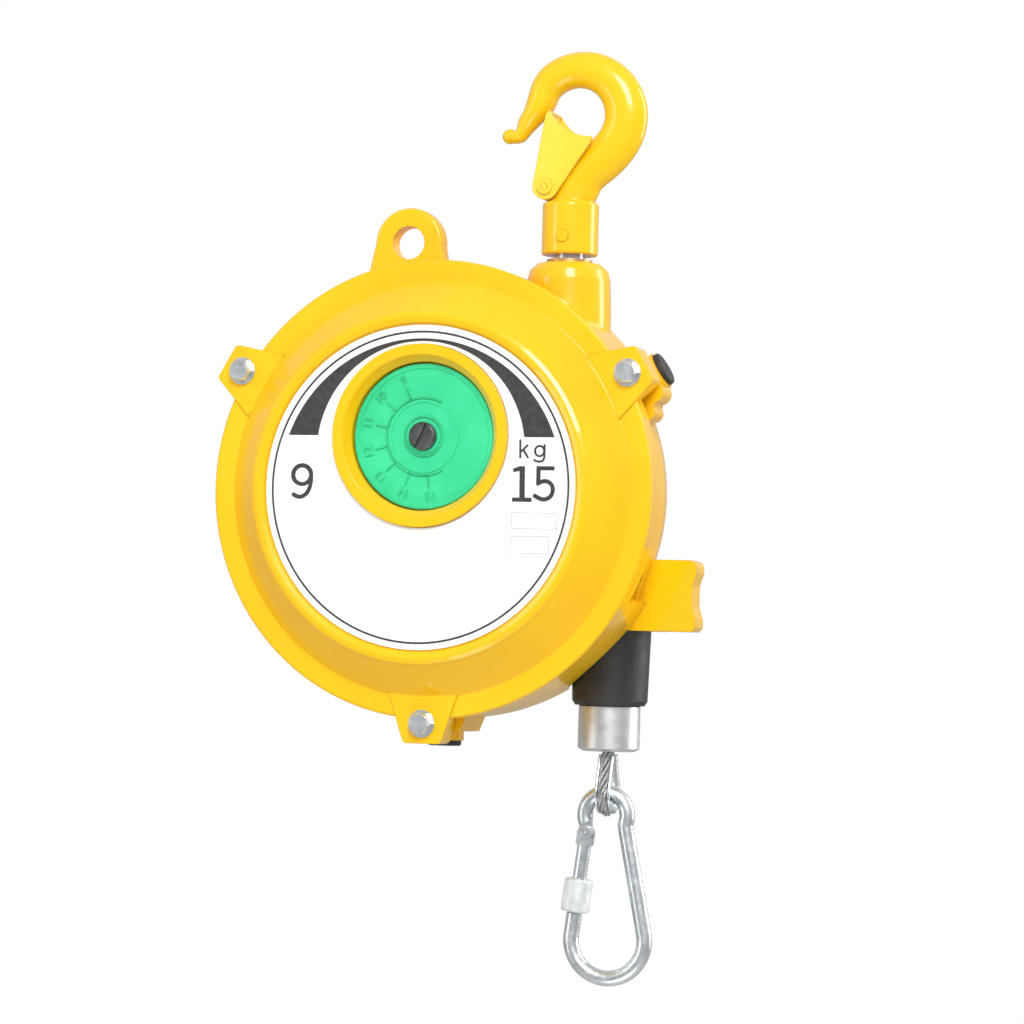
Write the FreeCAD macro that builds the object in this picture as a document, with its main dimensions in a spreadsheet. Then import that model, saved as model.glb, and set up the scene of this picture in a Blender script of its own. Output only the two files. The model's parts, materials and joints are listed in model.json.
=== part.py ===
import FreeCAD, Part
import math
import os
import re
import Sketcher

# Tool balancer (spring balancer) for loads of 9 to 15 kg.
#
# Every size below is written in the housing's own frame, in millimetres:
# the drum axis is the Y axis and the front points to -Y; X is to the right, Z is up;
# Y = 0 is the front face of the cover's bolting flange.
# The finished pieces are all moved together at the end, so that the model's origin
# is the point of the suspension hook's bowl that bears on whatever it hangs from.

Vector = FreeCAD.Vector
doc = FreeCAD.newDocument("ToolBalancer")

# ---------------------------------------------------------------- driving dimensions
SIZES = {
    # front cover and its flange
    "flange_radius": 90.0,
    "cover_flange": 5.0,
    "cone_foot_radius": 81.6,
    "cone_top_radius": 69.4,
    "cone_height": 12.6,
    "lip_radius": 66.6,
    "lip_height": 14.3,
    "label_radius": 63.2,
    "label_front": 12.85,
    "label_thickness": 0.6,
    "cover_wall": 4.0,
    "spigot_length": 3.0,
    "spigot_clearance": 0.15,
    # ears that the cover bolts pass through
    "bolt_circle": 91.7,
    "ear_reach": 99.5,
    "ear_tip_half": 7.6,
    "ear_spread": 0.4,
    "ear_rise": 0.8,
    "ear_corner": 2.2,
    # dial and the gear pair that turns it
    "dial_ring_radius": 35.7,
    "dial_ring_front": 14.6,
    "dial_ring_mouth": 31.6,
    "dial_radius": 28.5,
    "dial_clearance": 0.6,
    "dial_front": 9.0,
    "dial_thickness": 1.9,
    "dial_floor": 5.0,
    "dial_floor_front": 6.6,
    "dial_spindle_radius": 4.0,
    "dial_screw_radius": 5.5,
    "gear_module": 1.0,
    "pinion_teeth": 12,
    "dial_gear_teeth": 28,
    "gear_face": 3.6,
    # rear housing
    "housing_flange": 6.0,
    "housing_radius": 85.0,
    "housing_wall": 6.0,
    "housing_shoulder": 38.0,
    "housing_depth": 62.5,
    "housing_back_radius": 68.0,
    "back_wall": 6.5,
    "hub_boss_radius": 17.0,
    "hub_boss_height": 3.5,
    "rib_count": 6,
    # rope
    "rope_radius": 2.0,
    "rope_line": 62.0,
    "rope_plane": 46.0,
    "rope_bend": 40.0,
    "rope_leg_gap": 0.1,
    # drum
    "drum_small_radius": 47.5,
    "drum_large_radius": 62.0,
    "groove_pitch": 4.4,
    "groove_turns": 3.75,
    "groove_clearance": 0.15,
    "drum_rim_radius": 65.5,
    "drum_rim": 4.0,
    "drum_front": 23.0,
    "drum_tail_rim": 51.5,
    "drum_back": 51.0,
    "drum_web": 4.0,
    "spring_room": 40.0,
    "lock_notches": 8,
    # power spring
    "spring_strip": 0.8,
    "spring_pitch": 2.8,
    "spring_turns": 9,
    "spring_gap": 1.0,
    "arbor_radius": 11.6,
    # main shaft and the worm that winds the spring
    "shaft_radius": 7.0,
    "journal_radius": 3.5,
    "rear_journal_radius": 6.0,
    "running_clearance": 0.05,
    "bush_wall": 1.6,
    "worm_module": 1.5,
    "wheel_teeth": 50,
    "worm_pitch_radius": 7.5,
    "wheel_face": 8.0,
    "wheel_plane": 13.0,
    "worm_length": 24.0,
    "worm_play": 0.35,
    "worm_journal": 5.0,
    "worm_tail": 66.0,
    "worm_key": 5.0,
    # outlet: stub, rope guide, rubber buffer, stopper
    "outlet_top": 26.0,
    "outlet_bottom": 53.0,
    "stub_top": 24.8,
    "stub_reach": 99.2,
    "stub_front": 36.5,
    "stub_thickness": 12.0,
    "stub_waist": 1.6,
    "guide_radius": 6.0,
    "guide_flange": 8.0,
    "buffer_radius": 15.8,
    "buffer_foot_radius": 15.0,
    "buffer_length": 29.8,
    "buffer_pocket_gap": 0.6,
    "stopper_radius": 12.3,
    "stopper_length": 18.2,
    # rope eye and thimble
    "eye_drop": 16.6,
    "wire_lift": 1.5,
    "eye_radius": 7.4,
    "thimble_wall": 0.9,
    # carabiner
    "wire_radius": 3.1,
    "carabiner_length": 79.5,
    "carabiner_top_radius": 8.7,
    "carabiner_foot_radius": 15.1,
    "carabiner_waist_radius": 4.0,
    "carabiner_waist_turn": 20.0,
    "carabiner_lean": 2.3,
    "sleeve_radius": 5.65,
    "sleeve_length": 13.0,
    "sleeve_travel": 4.0,
    "gate_radius": 2.75,
    # suspension hook, latch and swivel
    "hook_line": 45.0,
    "hook_plane": 32.0,
    "bowl_x": 47.1,
    "bowl_z": 150.6,
    "bowl_radius": 11.0,
    "hook_half_depth": 6.5,
    "collar_radius": 11.2,
    "collar_bottom": 94.8,
    "collar_top": 115.9,
    "boss_radius": 17.1,
    "boss_top": 92.0,
    "boss_round": 7.0,
    "swivel_radius": 6.0,
    "swivel_head_radius": 10.5,
    "swivel_head": 7.0,
    "latch_pivot_x": 36.5,
    "latch_pivot_z": 121.4,
    "latch_sheet": 1.4,
    # safety eye lug
    "eye_lug_x": -16.4,
    "eye_lug_z": 98.3,
    "eye_lug_radius": 14.0,
    "eye_lug_bore": 6.6,
    "eye_lug_front": 14.0,
    "eye_lug_thickness": 8.0,
    "eye_lug_edge": 1.6,
    # rubber plugs in the radial bores
    "plug_plane": 28.0,
    "plug_radius": 6.7,
    "plug_reach": 100.5,
    "plug_head": 2.2,
    "plug_stem": 4.0,
    "plug_boss_radius": 7.6,
    # fasteners
    "bolt_radius": 2.5,
    "bolt_flats": 8.0,
    "bolt_head": 3.5,
    "bolt_length": 12.0,
    "washer_radius": 5.4,
    "washer_thickness": 1.0,
}

sizes = doc.addObject("Spreadsheet::Sheet", "Sizes")
for row, (alias, value) in enumerate(SIZES.items(), start=1):
    sizes.set(f"A{row}", alias)
    sizes.set(f"B{row}", str(value))
    sizes.setAlias(f"B{row}", alias)
doc.recompute()

# ---------------------------------------------------------------- derived lengths
SEAT_Z = "(bowl_z + bowl_radius)"
LABEL_SEAT = "(-label_front + label_thickness)"
COVER_INSIDE = f"({LABEL_SEAT} + cover_wall)"
SEAM = "cover_flange"
HOUSING_RIM = "(cover_flange + housing_flange)"
INNER_RADIUS = "(housing_radius - housing_wall)"
DIAL_BACK = "(-dial_front + dial_thickness)"
FLOOR_BACK = "(-dial_floor_front + dial_floor)"
DIAL_HEIGHT = "(gear_module * (pinion_teeth + dial_gear_teeth) / 2)"
GEAR_FRONT = f"({FLOOR_BACK} + 0.4)"
GEAR_BACK = f"({GEAR_FRONT} + gear_face)"
WORM_X = "(-(worm_module * wheel_teeth / 2 + worm_pitch_radius + worm_play))"
CONE_SLOPE = "((drum_large_radius - drum_small_radius) / (groove_pitch * groove_turns))"
LOAD_PLANE = "(rope_plane + rope_radius + rope_leg_gap / 2)"
BUFFER_BOTTOM = "(-outlet_bottom - buffer_length)"
STOPPER_BOTTOM = f"({BUFFER_BOTTOM} - stopper_length)"
EYE_CENTRE = f"({STOPPER_BOTTOM} - eye_drop)"
THIMBLE_INSIDE = "(eye_radius - rope_radius - thimble_wall)"
WIRE_TOP = f"({EYE_CENTRE} - {THIMBLE_INSIDE} + wire_radius + wire_lift)"
CAVITY_BACK = "(housing_depth - back_wall)"
EAR_ANGLES = (-90, 30, 150)
PLUG_ANGLES = (-90, 30)

WORD = re.compile(r"[a-z_]+")


def expr(text):
    """An expression of the document in which every size is named by its alias."""
    return WORD.sub(lambda m: f"Sizes.{m.group(0)}" if m.group(0) in SIZES else m.group(0), text)


def number(text):
    """The present value of an expression of the sizes."""
    return float(sizes.evalExpression(expr(f"({text}) * 1")))


def bind(thing, path, text):
    thing.setExpression(path, expr(text))


# ---------------------------------------------------------------- helpers
NODES = []


def place(thing, label, x="0", y="0", z="0", rotation=None):
    """Move a finished piece from the housing's frame to the model's frame."""
    thing.Label = label
    if rotation is not None:
        thing.Placement = FreeCAD.Placement(Vector(), rotation)
    shift = (f"({x}) - bowl_x", f"({y}) - hook_plane", f"({z}) - {SEAT_Z}")
    for axis, text in zip("xyz", shift):
        bind(thing, f"Placement.Base.{axis}", text)
    NODES.append(thing)
    return thing


def shaped(name, label, shape, x="0", y="0", z="0"):
    """A piece whose shape is worked out here, moved to the model's frame."""
    thing = doc.addObject("Part::Feature", name)
    at = shape.Placement.toMatrix()
    settled = shape.copy()
    settled.Placement = FreeCAD.Placement()
    settled.transformShape(at, True)
    thing.Shape = settled
    return place(thing, label, x, y, z)


def origin_plane(body, role):
    return [f for f in body.Origin.OriginFeatures if f.Role == role][0]


def sketch_on(body, name, role, lift="0"):
    sketch = body.newObject("Sketcher::SketchObject", name)
    sketch.AttachmentSupport = (origin_plane(body, role), [""])
    sketch.MapMode = "FlatFace"
    if lift != "0":
        bind(sketch, "AttachmentOffset.Base.z", lift)
    return sketch


def outline(body, name, role, points, lift="0"):
    """A closed outline of straight lines; each point is a pair of expressions."""
    sketch = sketch_on(body, name, role, lift)
    corners = [(number(a), number(b)) for a, b in points]
    for index, start in enumerate(corners):
        end = corners[(index + 1) % len(corners)]
        sketch.addGeometry(Part.LineSegment(Vector(*start, 0), Vector(*end, 0)), False)
    for index in range(len(corners)):
        following = (index + 1) % len(corners)
        sketch.addConstraint(Sketcher.Constraint("Coincident", index, 2, following, 1))
    for index, texts in enumerate(points):
        for kind, text, value in zip(("DistanceX", "DistanceY"), texts, corners[index]):
            constraint = Sketcher.Constraint(kind, -1, 1, index, 1, value)
            place_in_sketch = sketch.addConstraint(constraint)
            if WORD.search(text):
                bind(sketch, f"Constraints[{place_in_sketch}]", text)
    return sketch


def turned_body(name, points, axis="Y"):
    """A body of revolution; points are (radius, distance along the axis)."""
    body = doc.addObject("PartDesign::Body", name)
    role = "XY_Plane" if axis == "Y" else "XZ_Plane"
    sketch = outline(body, f"{name}Profile", role, points)
    turn = body.newObject("PartDesign::Revolution", f"{name}Turn")
    turn.Profile = sketch
    turn.ReferenceAxis = (sketch, ["V_Axis"])
    turn.Angle = 360
    doc.recompute()
    return body


def slab_body(name, points, front, back):
    """A plate with an outline in X and Z, from Y = front to Y = back."""
    body = doc.addObject("PartDesign::Body", name)
    sketch = outline(body, f"{name}Outline", "XZ_Plane", points, f"-({front})")
    pad = body.newObject("PartDesign::Pad", f"{name}Pad")
    pad.Profile = sketch
    pad.Reversed = True
    bind(pad, "Length", f"({back}) - ({front})")
    doc.recompute()
    return body


def towards(angle):
    """Turns +Z to the direction at this angle from +X towards +Z."""
    bearing = math.radians(angle)
    return FreeCAD.Rotation(Vector(0, 0, 1), Vector(math.cos(bearing), 0, math.sin(bearing)))


ALONG_Y = FreeCAD.Rotation(Vector(0, 0, 1), Vector(0, 1, 0))
UPWARD = FreeCAD.Rotation()


def rod(name, radius, length, x="0", y="0", z="0", way=ALONG_Y):
    """A plain cylinder from a point, along a direction."""
    cylinder = doc.addObject("Part::Cylinder", name)
    bind(cylinder, "Radius", radius)
    bind(cylinder, "Height", length)
    cylinder.Placement = FreeCAD.Placement(Vector(), way)
    for axis, text in zip("xyz", (x, y, z)):
        bind(cylinder, f"Placement.Base.{axis}", text)
    return cylinder


def block(name, low, high):
    """A box between two corners given as expressions."""
    box = doc.addObject("Part::Box", name)
    for side, start, end in zip(("Length", "Width", "Height"), low, high):
        bind(box, side, f"({end}) - ({start})")
    for axis, text in zip("xyz", low):
        bind(box, f"Placement.Base.{axis}", text)
    return box


def radial(radius, angle):
    """X and Z of a point at this radius from the drum axis."""
    return f"({radius}) * cos({angle})", f"({radius}) * sin({angle})"


def joined(name, things):
    fuse = doc.addObject("Part::MultiFuse", name)
    fuse.Shapes = things
    fuse.Refine = True
    return fuse


def cut(name, base, tools):
    tool = tools[0] if len(tools) == 1 else joined(f"{name}Tools", tools)
    result = doc.addObject("Part::Cut", name)
    result.Base = base
    result.Tool = tool
    result.Refine = True
    doc.recompute()
    if result.Shape.Volume > base.Shape.Volume - 1e-3:
        raise ValueError(f"{name} cut nothing")
    return result


def group(name, things):
    compound = doc.addObject("Part::Compound", name)
    compound.Links = things
    return compound


def rounded(name, base, radius, pick):
    """Round the edges of a piece that pick() chooses."""
    doc.recompute()
    numbers = [i + 1 for i, edge in enumerate(base.Shape.Edges) if pick(edge)]
    if not numbers:
        raise ValueError(f"{name} found no edge to round")
    fillet = doc.addObject("Part::Fillet", name)
    fillet.Base = base
    size = number(radius)
    fillet.Edges = [(index, size, size) for index in numbers]
    doc.recompute()
    return fillet


def sweep(path_edges, section):
    """A closed section carried along a path of lines and arcs."""
    shell = Part.BRepOffsetAPI.MakePipeShell(Part.Wire(path_edges))
    shell.add(section, False, True)
    shell.setTransitionMode(0)
    shell.build()
    shell.makeSolid()
    return shell.shape()


def round_section(centre, direction, radius):
    return Part.Wire([Part.Circle(centre, direction, radius).toShape()])


# ---------------------------------------------------------------- front cover
def ear_outline(inner):
    """Half-hexagon ear that points down, from an inner radius to its blunt tip."""
    root_half = f"(ear_tip_half + ear_spread * (ear_reach - {inner}))"
    return [
        (f"-{root_half}", f"-({inner})"),
        (root_half, f"-({inner})"),
        ("ear_tip_half", "-ear_reach"),
        ("-ear_tip_half", "-ear_reach"),
    ]


def is_along_y(edge):
    return isinstance(edge.Curve, Part.Line) and abs(edge.Curve.Direction.y) > 0.999


def ears(name, inner, front, back):
    """Three ears round the drum axis, rounded at their tips."""
    reach = number("ear_reach")
    made = []
    for angle in EAR_ANGLES:
        seed = slab_body(f"{name}{len(made)}", ear_outline(inner), front, back)
        ear = rounded(f"{name}Round{len(made)}", seed, "ear_corner",
                      lambda e: is_along_y(e) and e.Vertexes[0].Z < -reach + 0.01)
        ear.Placement.Rotation = FreeCAD.Rotation(Vector(0, 1, 0), -(angle + 90))
        made.append(ear)
    return made


def bolt_holes(name, radius, front, back):
    made = []
    for angle in EAR_ANGLES:
        x, z = radial("bolt_circle", angle)
        made.append(rod(f"{name}{len(made)}", radius, f"({back}) - ({front})", x, front, z))
    return made


BEHIND_LIP = "(-lip_height + 0.7)"
SPIGOT_INSIDE = f"({INNER_RADIUS} - 3)"
cover_profile = [
    ("0", LABEL_SEAT),
    ("label_radius + 0.4", LABEL_SEAT),
    ("label_radius + 0.9", BEHIND_LIP),
    ("lip_radius - 0.5", "-lip_height"),
    ("lip_radius + 0.5", "-lip_height"),
    ("cone_top_radius - 0.7", BEHIND_LIP),
    ("cone_top_radius", "-cone_height"),
    ("cone_foot_radius", "0"),
    ("flange_radius - 0.6", "0"),
    ("flange_radius", "0.6"),
    ("flange_radius", SEAM),
    (f"{INNER_RADIUS} - spigot_clearance", SEAM),
    (f"{INNER_RADIUS} - spigot_clearance", f"{SEAM} + spigot_length"),
    (SPIGOT_INSIDE, f"{SEAM} + spigot_length"),
    (f"min({SPIGOT_INSIDE}; cone_foot_radius - 5.2)", "1"),
    ("cone_top_radius - 3.2", COVER_INSIDE),
    ("0", COVER_INSIDE),
]
cover_shell = turned_body("CoverShell", cover_profile)
dial_boss = rod("DialBoss", "dial_ring_radius", f"dial_ring_front + {FLOOR_BACK}",
                "0", "-dial_ring_front", DIAL_HEIGHT)
cover_blank = joined("CoverBlank",
                     [cover_shell, dial_boss] + ears("CoverEar", "cone_foot_radius - 1.5", "-ear_rise",
                                                     SEAM))

DIAL_WELL = "(dial_radius + dial_clearance)"
dial_well = turned_body("DialWell", [
    ("0", "-dial_ring_front - 1"),
    ("dial_ring_mouth + 0.3", "-dial_ring_front - 1"),
    ("dial_ring_mouth", "-dial_ring_front"),
    (DIAL_WELL, "-dial_front - 1.6"),
    (DIAL_WELL, "-dial_floor_front"),
    ("0", "-dial_floor_front"),
])
bind(dial_well, "Placement.Base.z", DIAL_HEIGHT)
BUSH_HOLE = "(dial_spindle_radius + bush_wall)"
JOURNAL_HOLE = "(journal_radius + bush_wall)"
spindle_hole = rod("SpindleHole", BUSH_HOLE, "dial_floor + 2", "0", "-dial_floor_front - 1", DIAL_HEIGHT)
journal_hole = rod("JournalHole", JOURNAL_HOLE, "dial_floor + 2", "0", "-dial_floor_front - 1", "0")
cover_bolt_holes = bolt_holes("CoverBoltHole", "bolt_radius + 0.3", "-ear_rise - 1", f"{SEAM} + 1")
spot_faces = bolt_holes("SpotFace", "washer_radius + 0.4", "-ear_rise - 6", "-ear_rise")
front_cover = cut("FrontCover", cover_blank,
                  [dial_well, spindle_hole, journal_hole] + cover_bolt_holes + spot_faces)
place(front_cover, "front_cover")

label_disc = rod("LabelDisc", "label_radius", "label_thickness", "0", "-label_front", "0")
label_hole = rod("LabelHole", "dial_ring_radius + 0.2", "label_thickness + 2",
                 "0", "-label_front - 1", DIAL_HEIGHT)
place(cut("Label", label_disc, [label_hole]), "label_plate")


# ---------------------------------------------------------------- cover bolts and washers
def hexagon(name, flats, height, x, y, z):
    prism = doc.addObject("Part::Prism", name)
    prism.Polygon = 6
    bind(prism, "Circumradius", f"({flats}) / sqrt(3)")
    bind(prism, "Height", height)
    prism.Placement = FreeCAD.Placement(Vector(), ALONG_Y)
    for axis, text in zip("xyz", (x, y, z)):
        bind(prism, f"Placement.Base.{axis}", text)
    return prism


HEAD_SEAT = "(-ear_rise - washer_thickness)"
bolts = []
washers = []
for turn_index, ear_angle in enumerate(EAR_ANGLES):
    bolt_x, bolt_z = radial("bolt_circle", ear_angle)
    head = hexagon(f"BoltHead{turn_index}", "bolt_flats", "bolt_head", bolt_x, f"{HEAD_SEAT} - bolt_head",
                   bolt_z)
    crown = doc.addObject("Part::Cone", f"BoltCrown{turn_index}")
    bind(crown, "Radius1", "bolt_flats / 2 * 0.94")
    bind(crown, "Radius2", "bolt_flats / 2 + 2")
    bind(crown, "Height", "bolt_head + 0.6")
    crown.Placement = FreeCAD.Placement(Vector(), ALONG_Y)
    bind(crown, "Placement.Base.x", bolt_x)
    bind(crown, "Placement.Base.y", f"{HEAD_SEAT} - bolt_head")
    bind(crown, "Placement.Base.z", bolt_z)
    turned_head = doc.addObject("Part::Common", f"BoltTop{turn_index}")
    turned_head.Base = head
    turned_head.Tool = crown
    shank = rod(f"BoltShank{turn_index}", "bolt_radius", "bolt_length", bolt_x, f"{HEAD_SEAT} - 0.5",
                bolt_z)
    bolts.append(joined(f"Bolt{turn_index}", [turned_head, shank]))
    disc = rod(f"WasherDisc{turn_index}", "washer_radius", "washer_thickness", bolt_x, HEAD_SEAT, bolt_z)
    bore = rod(f"WasherBore{turn_index}", "bolt_radius + 0.25", "washer_thickness + 2",
               bolt_x, f"{HEAD_SEAT} - 1", bolt_z)
    washers.append(cut(f"Washer{turn_index}", disc, [bore]))
place(group("CoverBolts", bolts), "cover_bolts")
place(group("CoverWashers", washers), "cover_washers")


# ---------------------------------------------------------------- dial, its spindle and gears
def gear_outline(teeth, module, share, top_share=0.45):
    """Corner points of a spur gear whose teeth have straight flanks.

    share is the tooth's part of the pitch at the pitch circle; the teeth are cut a
    little thin so that the pair runs free."""
    pitch_radius = teeth * module / 2
    root = pitch_radius - 1.25 * module
    top = pitch_radius + module
    step = 2 * math.pi / teeth
    half_root = step * min(0.46, share * 0.5 * 1.45)
    half_top = step * share * 0.5 * top_share
    points = []
    for tooth in range(teeth):
        middle = tooth * step
        for radius, offset in ((root, -half_root), (top, -half_top), (top, half_top), (root, half_root)):
            points.append((radius * math.cos(middle + offset), radius * math.sin(middle + offset)))
    return points


def gear(outline_points, face, bore):
    """A gear blank along +Y from Y = 0, with the given outline in X and Z."""
    wire = Part.makePolygon([Vector(x, 0, z) for x, z in outline_points + outline_points[:1]])
    blank = Part.Face(wire).extrude(Vector(0, face, 0))
    hole = Part.makeCylinder(bore, face + 2, Vector(0, -1, 0), Vector(0, 1, 0))
    return blank.cut(hole)


dial_disc = turned_body("DialDisc", [
    ("0", "0.5"),
    ("dial_radius - 2.2", "0.5"),
    ("dial_radius - 1.8", "0"),
    ("dial_radius - 0.4", "0"),
    ("dial_radius", "0.4"),
    ("dial_radius", "dial_thickness"),
    ("0", "dial_thickness"),
])
inner_ring = rod("DialInnerRing", "dial_radius / 2", "0.8", "0", "0.2", "0")
inner_ring_hole = rod("DialInnerRingHole", "dial_radius / 2 - 1", "1", "0", "-0.5", "0")
collar_ring = rod("DialCollarRing", "dial_screw_radius + 1.4", "0.8", "0", "0", "0")
dial_relief = joined("DialRelief",
                     [dial_disc, cut("DialRing", inner_ring, [inner_ring_hole]), collar_ring])
dial_bore = rod("DialBore", "dial_spindle_radius - 1.9", "dial_thickness + 4", "0", "-2", "0")
place(cut("Dial", dial_relief, [dial_bore]), "dial", "0", "-dial_front", DIAL_HEIGHT)

SPINDLE_END = f"({GEAR_BACK} + 1)"
spindle_blank = turned_body("SpindleBlank", [
    ("0", DIAL_BACK),
    ("dial_spindle_radius - running_clearance", DIAL_BACK),
    ("dial_spindle_radius - running_clearance", f"{SPINDLE_END} - 0.4"),
    ("dial_spindle_radius - running_clearance - 0.4", SPINDLE_END),
    ("0", SPINDLE_END),
])
screw_hole = rod("SpindleTap", "dial_spindle_radius - 1.9", "8", "0", f"{DIAL_BACK} - 1", "0")
place(cut("DialSpindle", spindle_blank, [screw_hole]), "dial_spindle", "0", "0", DIAL_HEIGHT)

screw_blank = turned_body("DialScrewBlank", [
    ("0", "-2.4"),
    ("dial_screw_radius - 0.8", "-2.4"),
    ("dial_screw_radius", "-1.7"),
    ("dial_screw_radius", "0"),
    ("dial_spindle_radius - 2", "0"),
    ("dial_spindle_radius - 2", "8"),
    ("0", "8"),
])
screw_slot = block("DialScrewSlot", ("-dial_screw_radius - 1", "-3", "-0.8"),
                   ("dial_screw_radius + 1", "-1.1", "0.8"))
SLOT_TURN = FreeCAD.Rotation(Vector(0, 1, 0), -65)
place(cut("DialScrew", screw_blank, [screw_slot]), "dial_screw", "0", "-dial_front", DIAL_HEIGHT,
      SLOT_TURN)

dial_bush = turned_body("DialBush", [
    ("dial_spindle_radius", "-dial_floor_front"),
    (BUSH_HOLE, "-dial_floor_front"),
    (BUSH_HOLE, FLOOR_BACK),
    ("dial_spindle_radius", FLOOR_BACK),
])
place(dial_bush, "dial_bush", "0", "0", DIAL_HEIGHT)

gear_module = number("gear_module")
dial_gear_teeth = round(number("dial_gear_teeth"))
pinion_teeth = round(number("pinion_teeth"))
dial_gear_shape = gear(gear_outline(dial_gear_teeth, gear_module, 0.42), number("gear_face"),
                       number("dial_spindle_radius"))
# the dial gear is turned so that a gap faces straight down, to the pinion's tooth
dial_gear_shape.rotate(Vector(), Vector(0, 1, 0), 90 + 180 / dial_gear_teeth)
shaped("DialGear", "dial_gear", dial_gear_shape, "0", GEAR_FRONT, DIAL_HEIGHT)
pinion_shape = gear(gear_outline(pinion_teeth, gear_module, 0.42), number("gear_face"),
                    number("journal_radius"))
pinion_shape.rotate(Vector(), Vector(0, 1, 0), -90)
shaped("ShaftPinion", "shaft_pinion", pinion_shape, "0", GEAR_FRONT, "0")

# ---------------------------------------------------------------- main shaft
SHAFT_SHOULDER = f"({GEAR_BACK} + 0.2)"
WHEEL_FRONT = "(wheel_plane - wheel_face / 2)"
WHEEL_BACK = "(wheel_plane + wheel_face / 2)"
REAR_SHOULDER = f"({CAVITY_BACK} - 0.4)"
SHAFT_END = "(housing_depth + hub_boss_height + 1.5)"
main_shaft = turned_body("MainShaft", [
    ("0", "-dial_floor_front + 0.2"),
    ("journal_radius - 0.4", "-dial_floor_front + 0.2"),
    ("journal_radius - running_clearance", "-dial_floor_front + 0.6"),
    ("journal_radius - running_clearance", SHAFT_SHOULDER),
    ("shaft_radius", SHAFT_SHOULDER),
    ("shaft_radius", REAR_SHOULDER),
    ("rear_journal_radius - running_clearance", REAR_SHOULDER),
    ("rear_journal_radius - running_clearance", f"{SHAFT_END} - 1.9"),
    ("rear_journal_radius - 0.7", f"{SHAFT_END} - 1.9"),
    ("rear_journal_radius - 0.7", f"{SHAFT_END} - 0.8"),
    ("rear_journal_radius - running_clearance", f"{SHAFT_END} - 0.8"),
    ("rear_journal_radius - 0.6", SHAFT_END),
    ("0", SHAFT_END),
])
key_seat = block("KeySeat", ("-1.5", WHEEL_FRONT, "shaft_radius - 1.5"),
                 ("1.5", WHEEL_BACK, "shaft_radius + 1"))
arbor_seat = block("ArborSeat", ("-1.5", "drum_front + 4", "-shaft_radius - 1"),
                   ("1.5", "drum_back - drum_web - 2", "-shaft_radius + 1.5"))
place(cut("Shaft", main_shaft, [key_seat, arbor_seat]), "main_shaft")
wheel_key = block("WheelKey", ("-1.45", WHEEL_FRONT, "shaft_radius - 1.45"),
                  ("1.45", WHEEL_BACK, "shaft_radius + 1.4"))
place(wheel_key, "wheel_key", "-1.45", WHEEL_FRONT, "shaft_radius - 1.45")
arbor_key = block("ArborKey", ("-1.45", "drum_front + 4", "-shaft_radius - 1.4"),
                  ("1.45", "drum_back - drum_web - 2", "-shaft_radius + 1.45"))
place(arbor_key, "arbor_key", "-1.45", "drum_front + 4", "-shaft_radius - 1.4")

journal_bush = turned_body("JournalBush", [
    ("journal_radius", "-dial_floor_front"),
    (JOURNAL_HOLE, "-dial_floor_front"),
    (JOURNAL_HOLE, FLOOR_BACK),
    ("journal_radius", FLOOR_BACK),
])
place(journal_bush, "front_shaft_bush")
REAR_BUSH_HOLE = "(rear_journal_radius + bush_wall + 1)"
rear_bush = turned_body("RearBush", [
    ("rear_journal_radius", CAVITY_BACK),
    (REAR_BUSH_HOLE, CAVITY_BACK),
    (REAR_BUSH_HOLE, "housing_depth + hub_boss_height - 1"),
    ("rear_journal_radius", "housing_depth + hub_boss_height - 1"),
])
place(rear_bush, "rear_shaft_bush")
ring_blank = turned_body("RetainerBlank", [
    ("rear_journal_radius - 0.65", f"{SHAFT_END} - 1.8"),
    ("rear_journal_radius + 2", f"{SHAFT_END} - 1.8"),
    ("rear_journal_radius + 2", f"{SHAFT_END} - 0.9"),
    ("rear_journal_radius - 0.65", f"{SHAFT_END} - 0.9"),
])
ring_gap = block("RetainerGap", ("-2", f"{SHAFT_END} - 3", "0"),
                 ("2", SHAFT_END, "rear_journal_radius + 4"))
place(cut("Retainer", ring_blank, [ring_gap]), "shaft_retaining_ring")

# ---------------------------------------------------------------- worm wheel and worm
worm_module = number("worm_module")
wheel_teeth = round(number("wheel_teeth"))
wheel_face = number("wheel_face")
wheel_radius = worm_module * wheel_teeth / 2
wheel_shape = gear(gear_outline(wheel_teeth, worm_module, 0.36), wheel_face, number("shaft_radius"))
for side in (0, wheel_face - 2.2):
    web_cut = Part.makeCylinder(wheel_radius - 6, 2.2, Vector(0, side, 0), Vector(0, 1, 0))
    web_cut = web_cut.cut(Part.makeCylinder(number("shaft_radius") + 6, 2.2, Vector(0, side, 0),
                                            Vector(0, 1, 0)))
    wheel_shape = wheel_shape.cut(web_cut)
# a tooth gap faces the worm, on the -X side, and the keyway faces up
wheel_shape.rotate(Vector(), Vector(0, 1, 0), 180 + 180 / wheel_teeth)
key_way = Part.makeBox(3, wheel_face + 2, 4, Vector(-1.5, -1, number("shaft_radius") - 1.5))
wheel_shape = wheel_shape.cut(key_way)
shaped("WormWheel", "worm_wheel", wheel_shape, "0", WHEEL_FRONT, "0")

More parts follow.
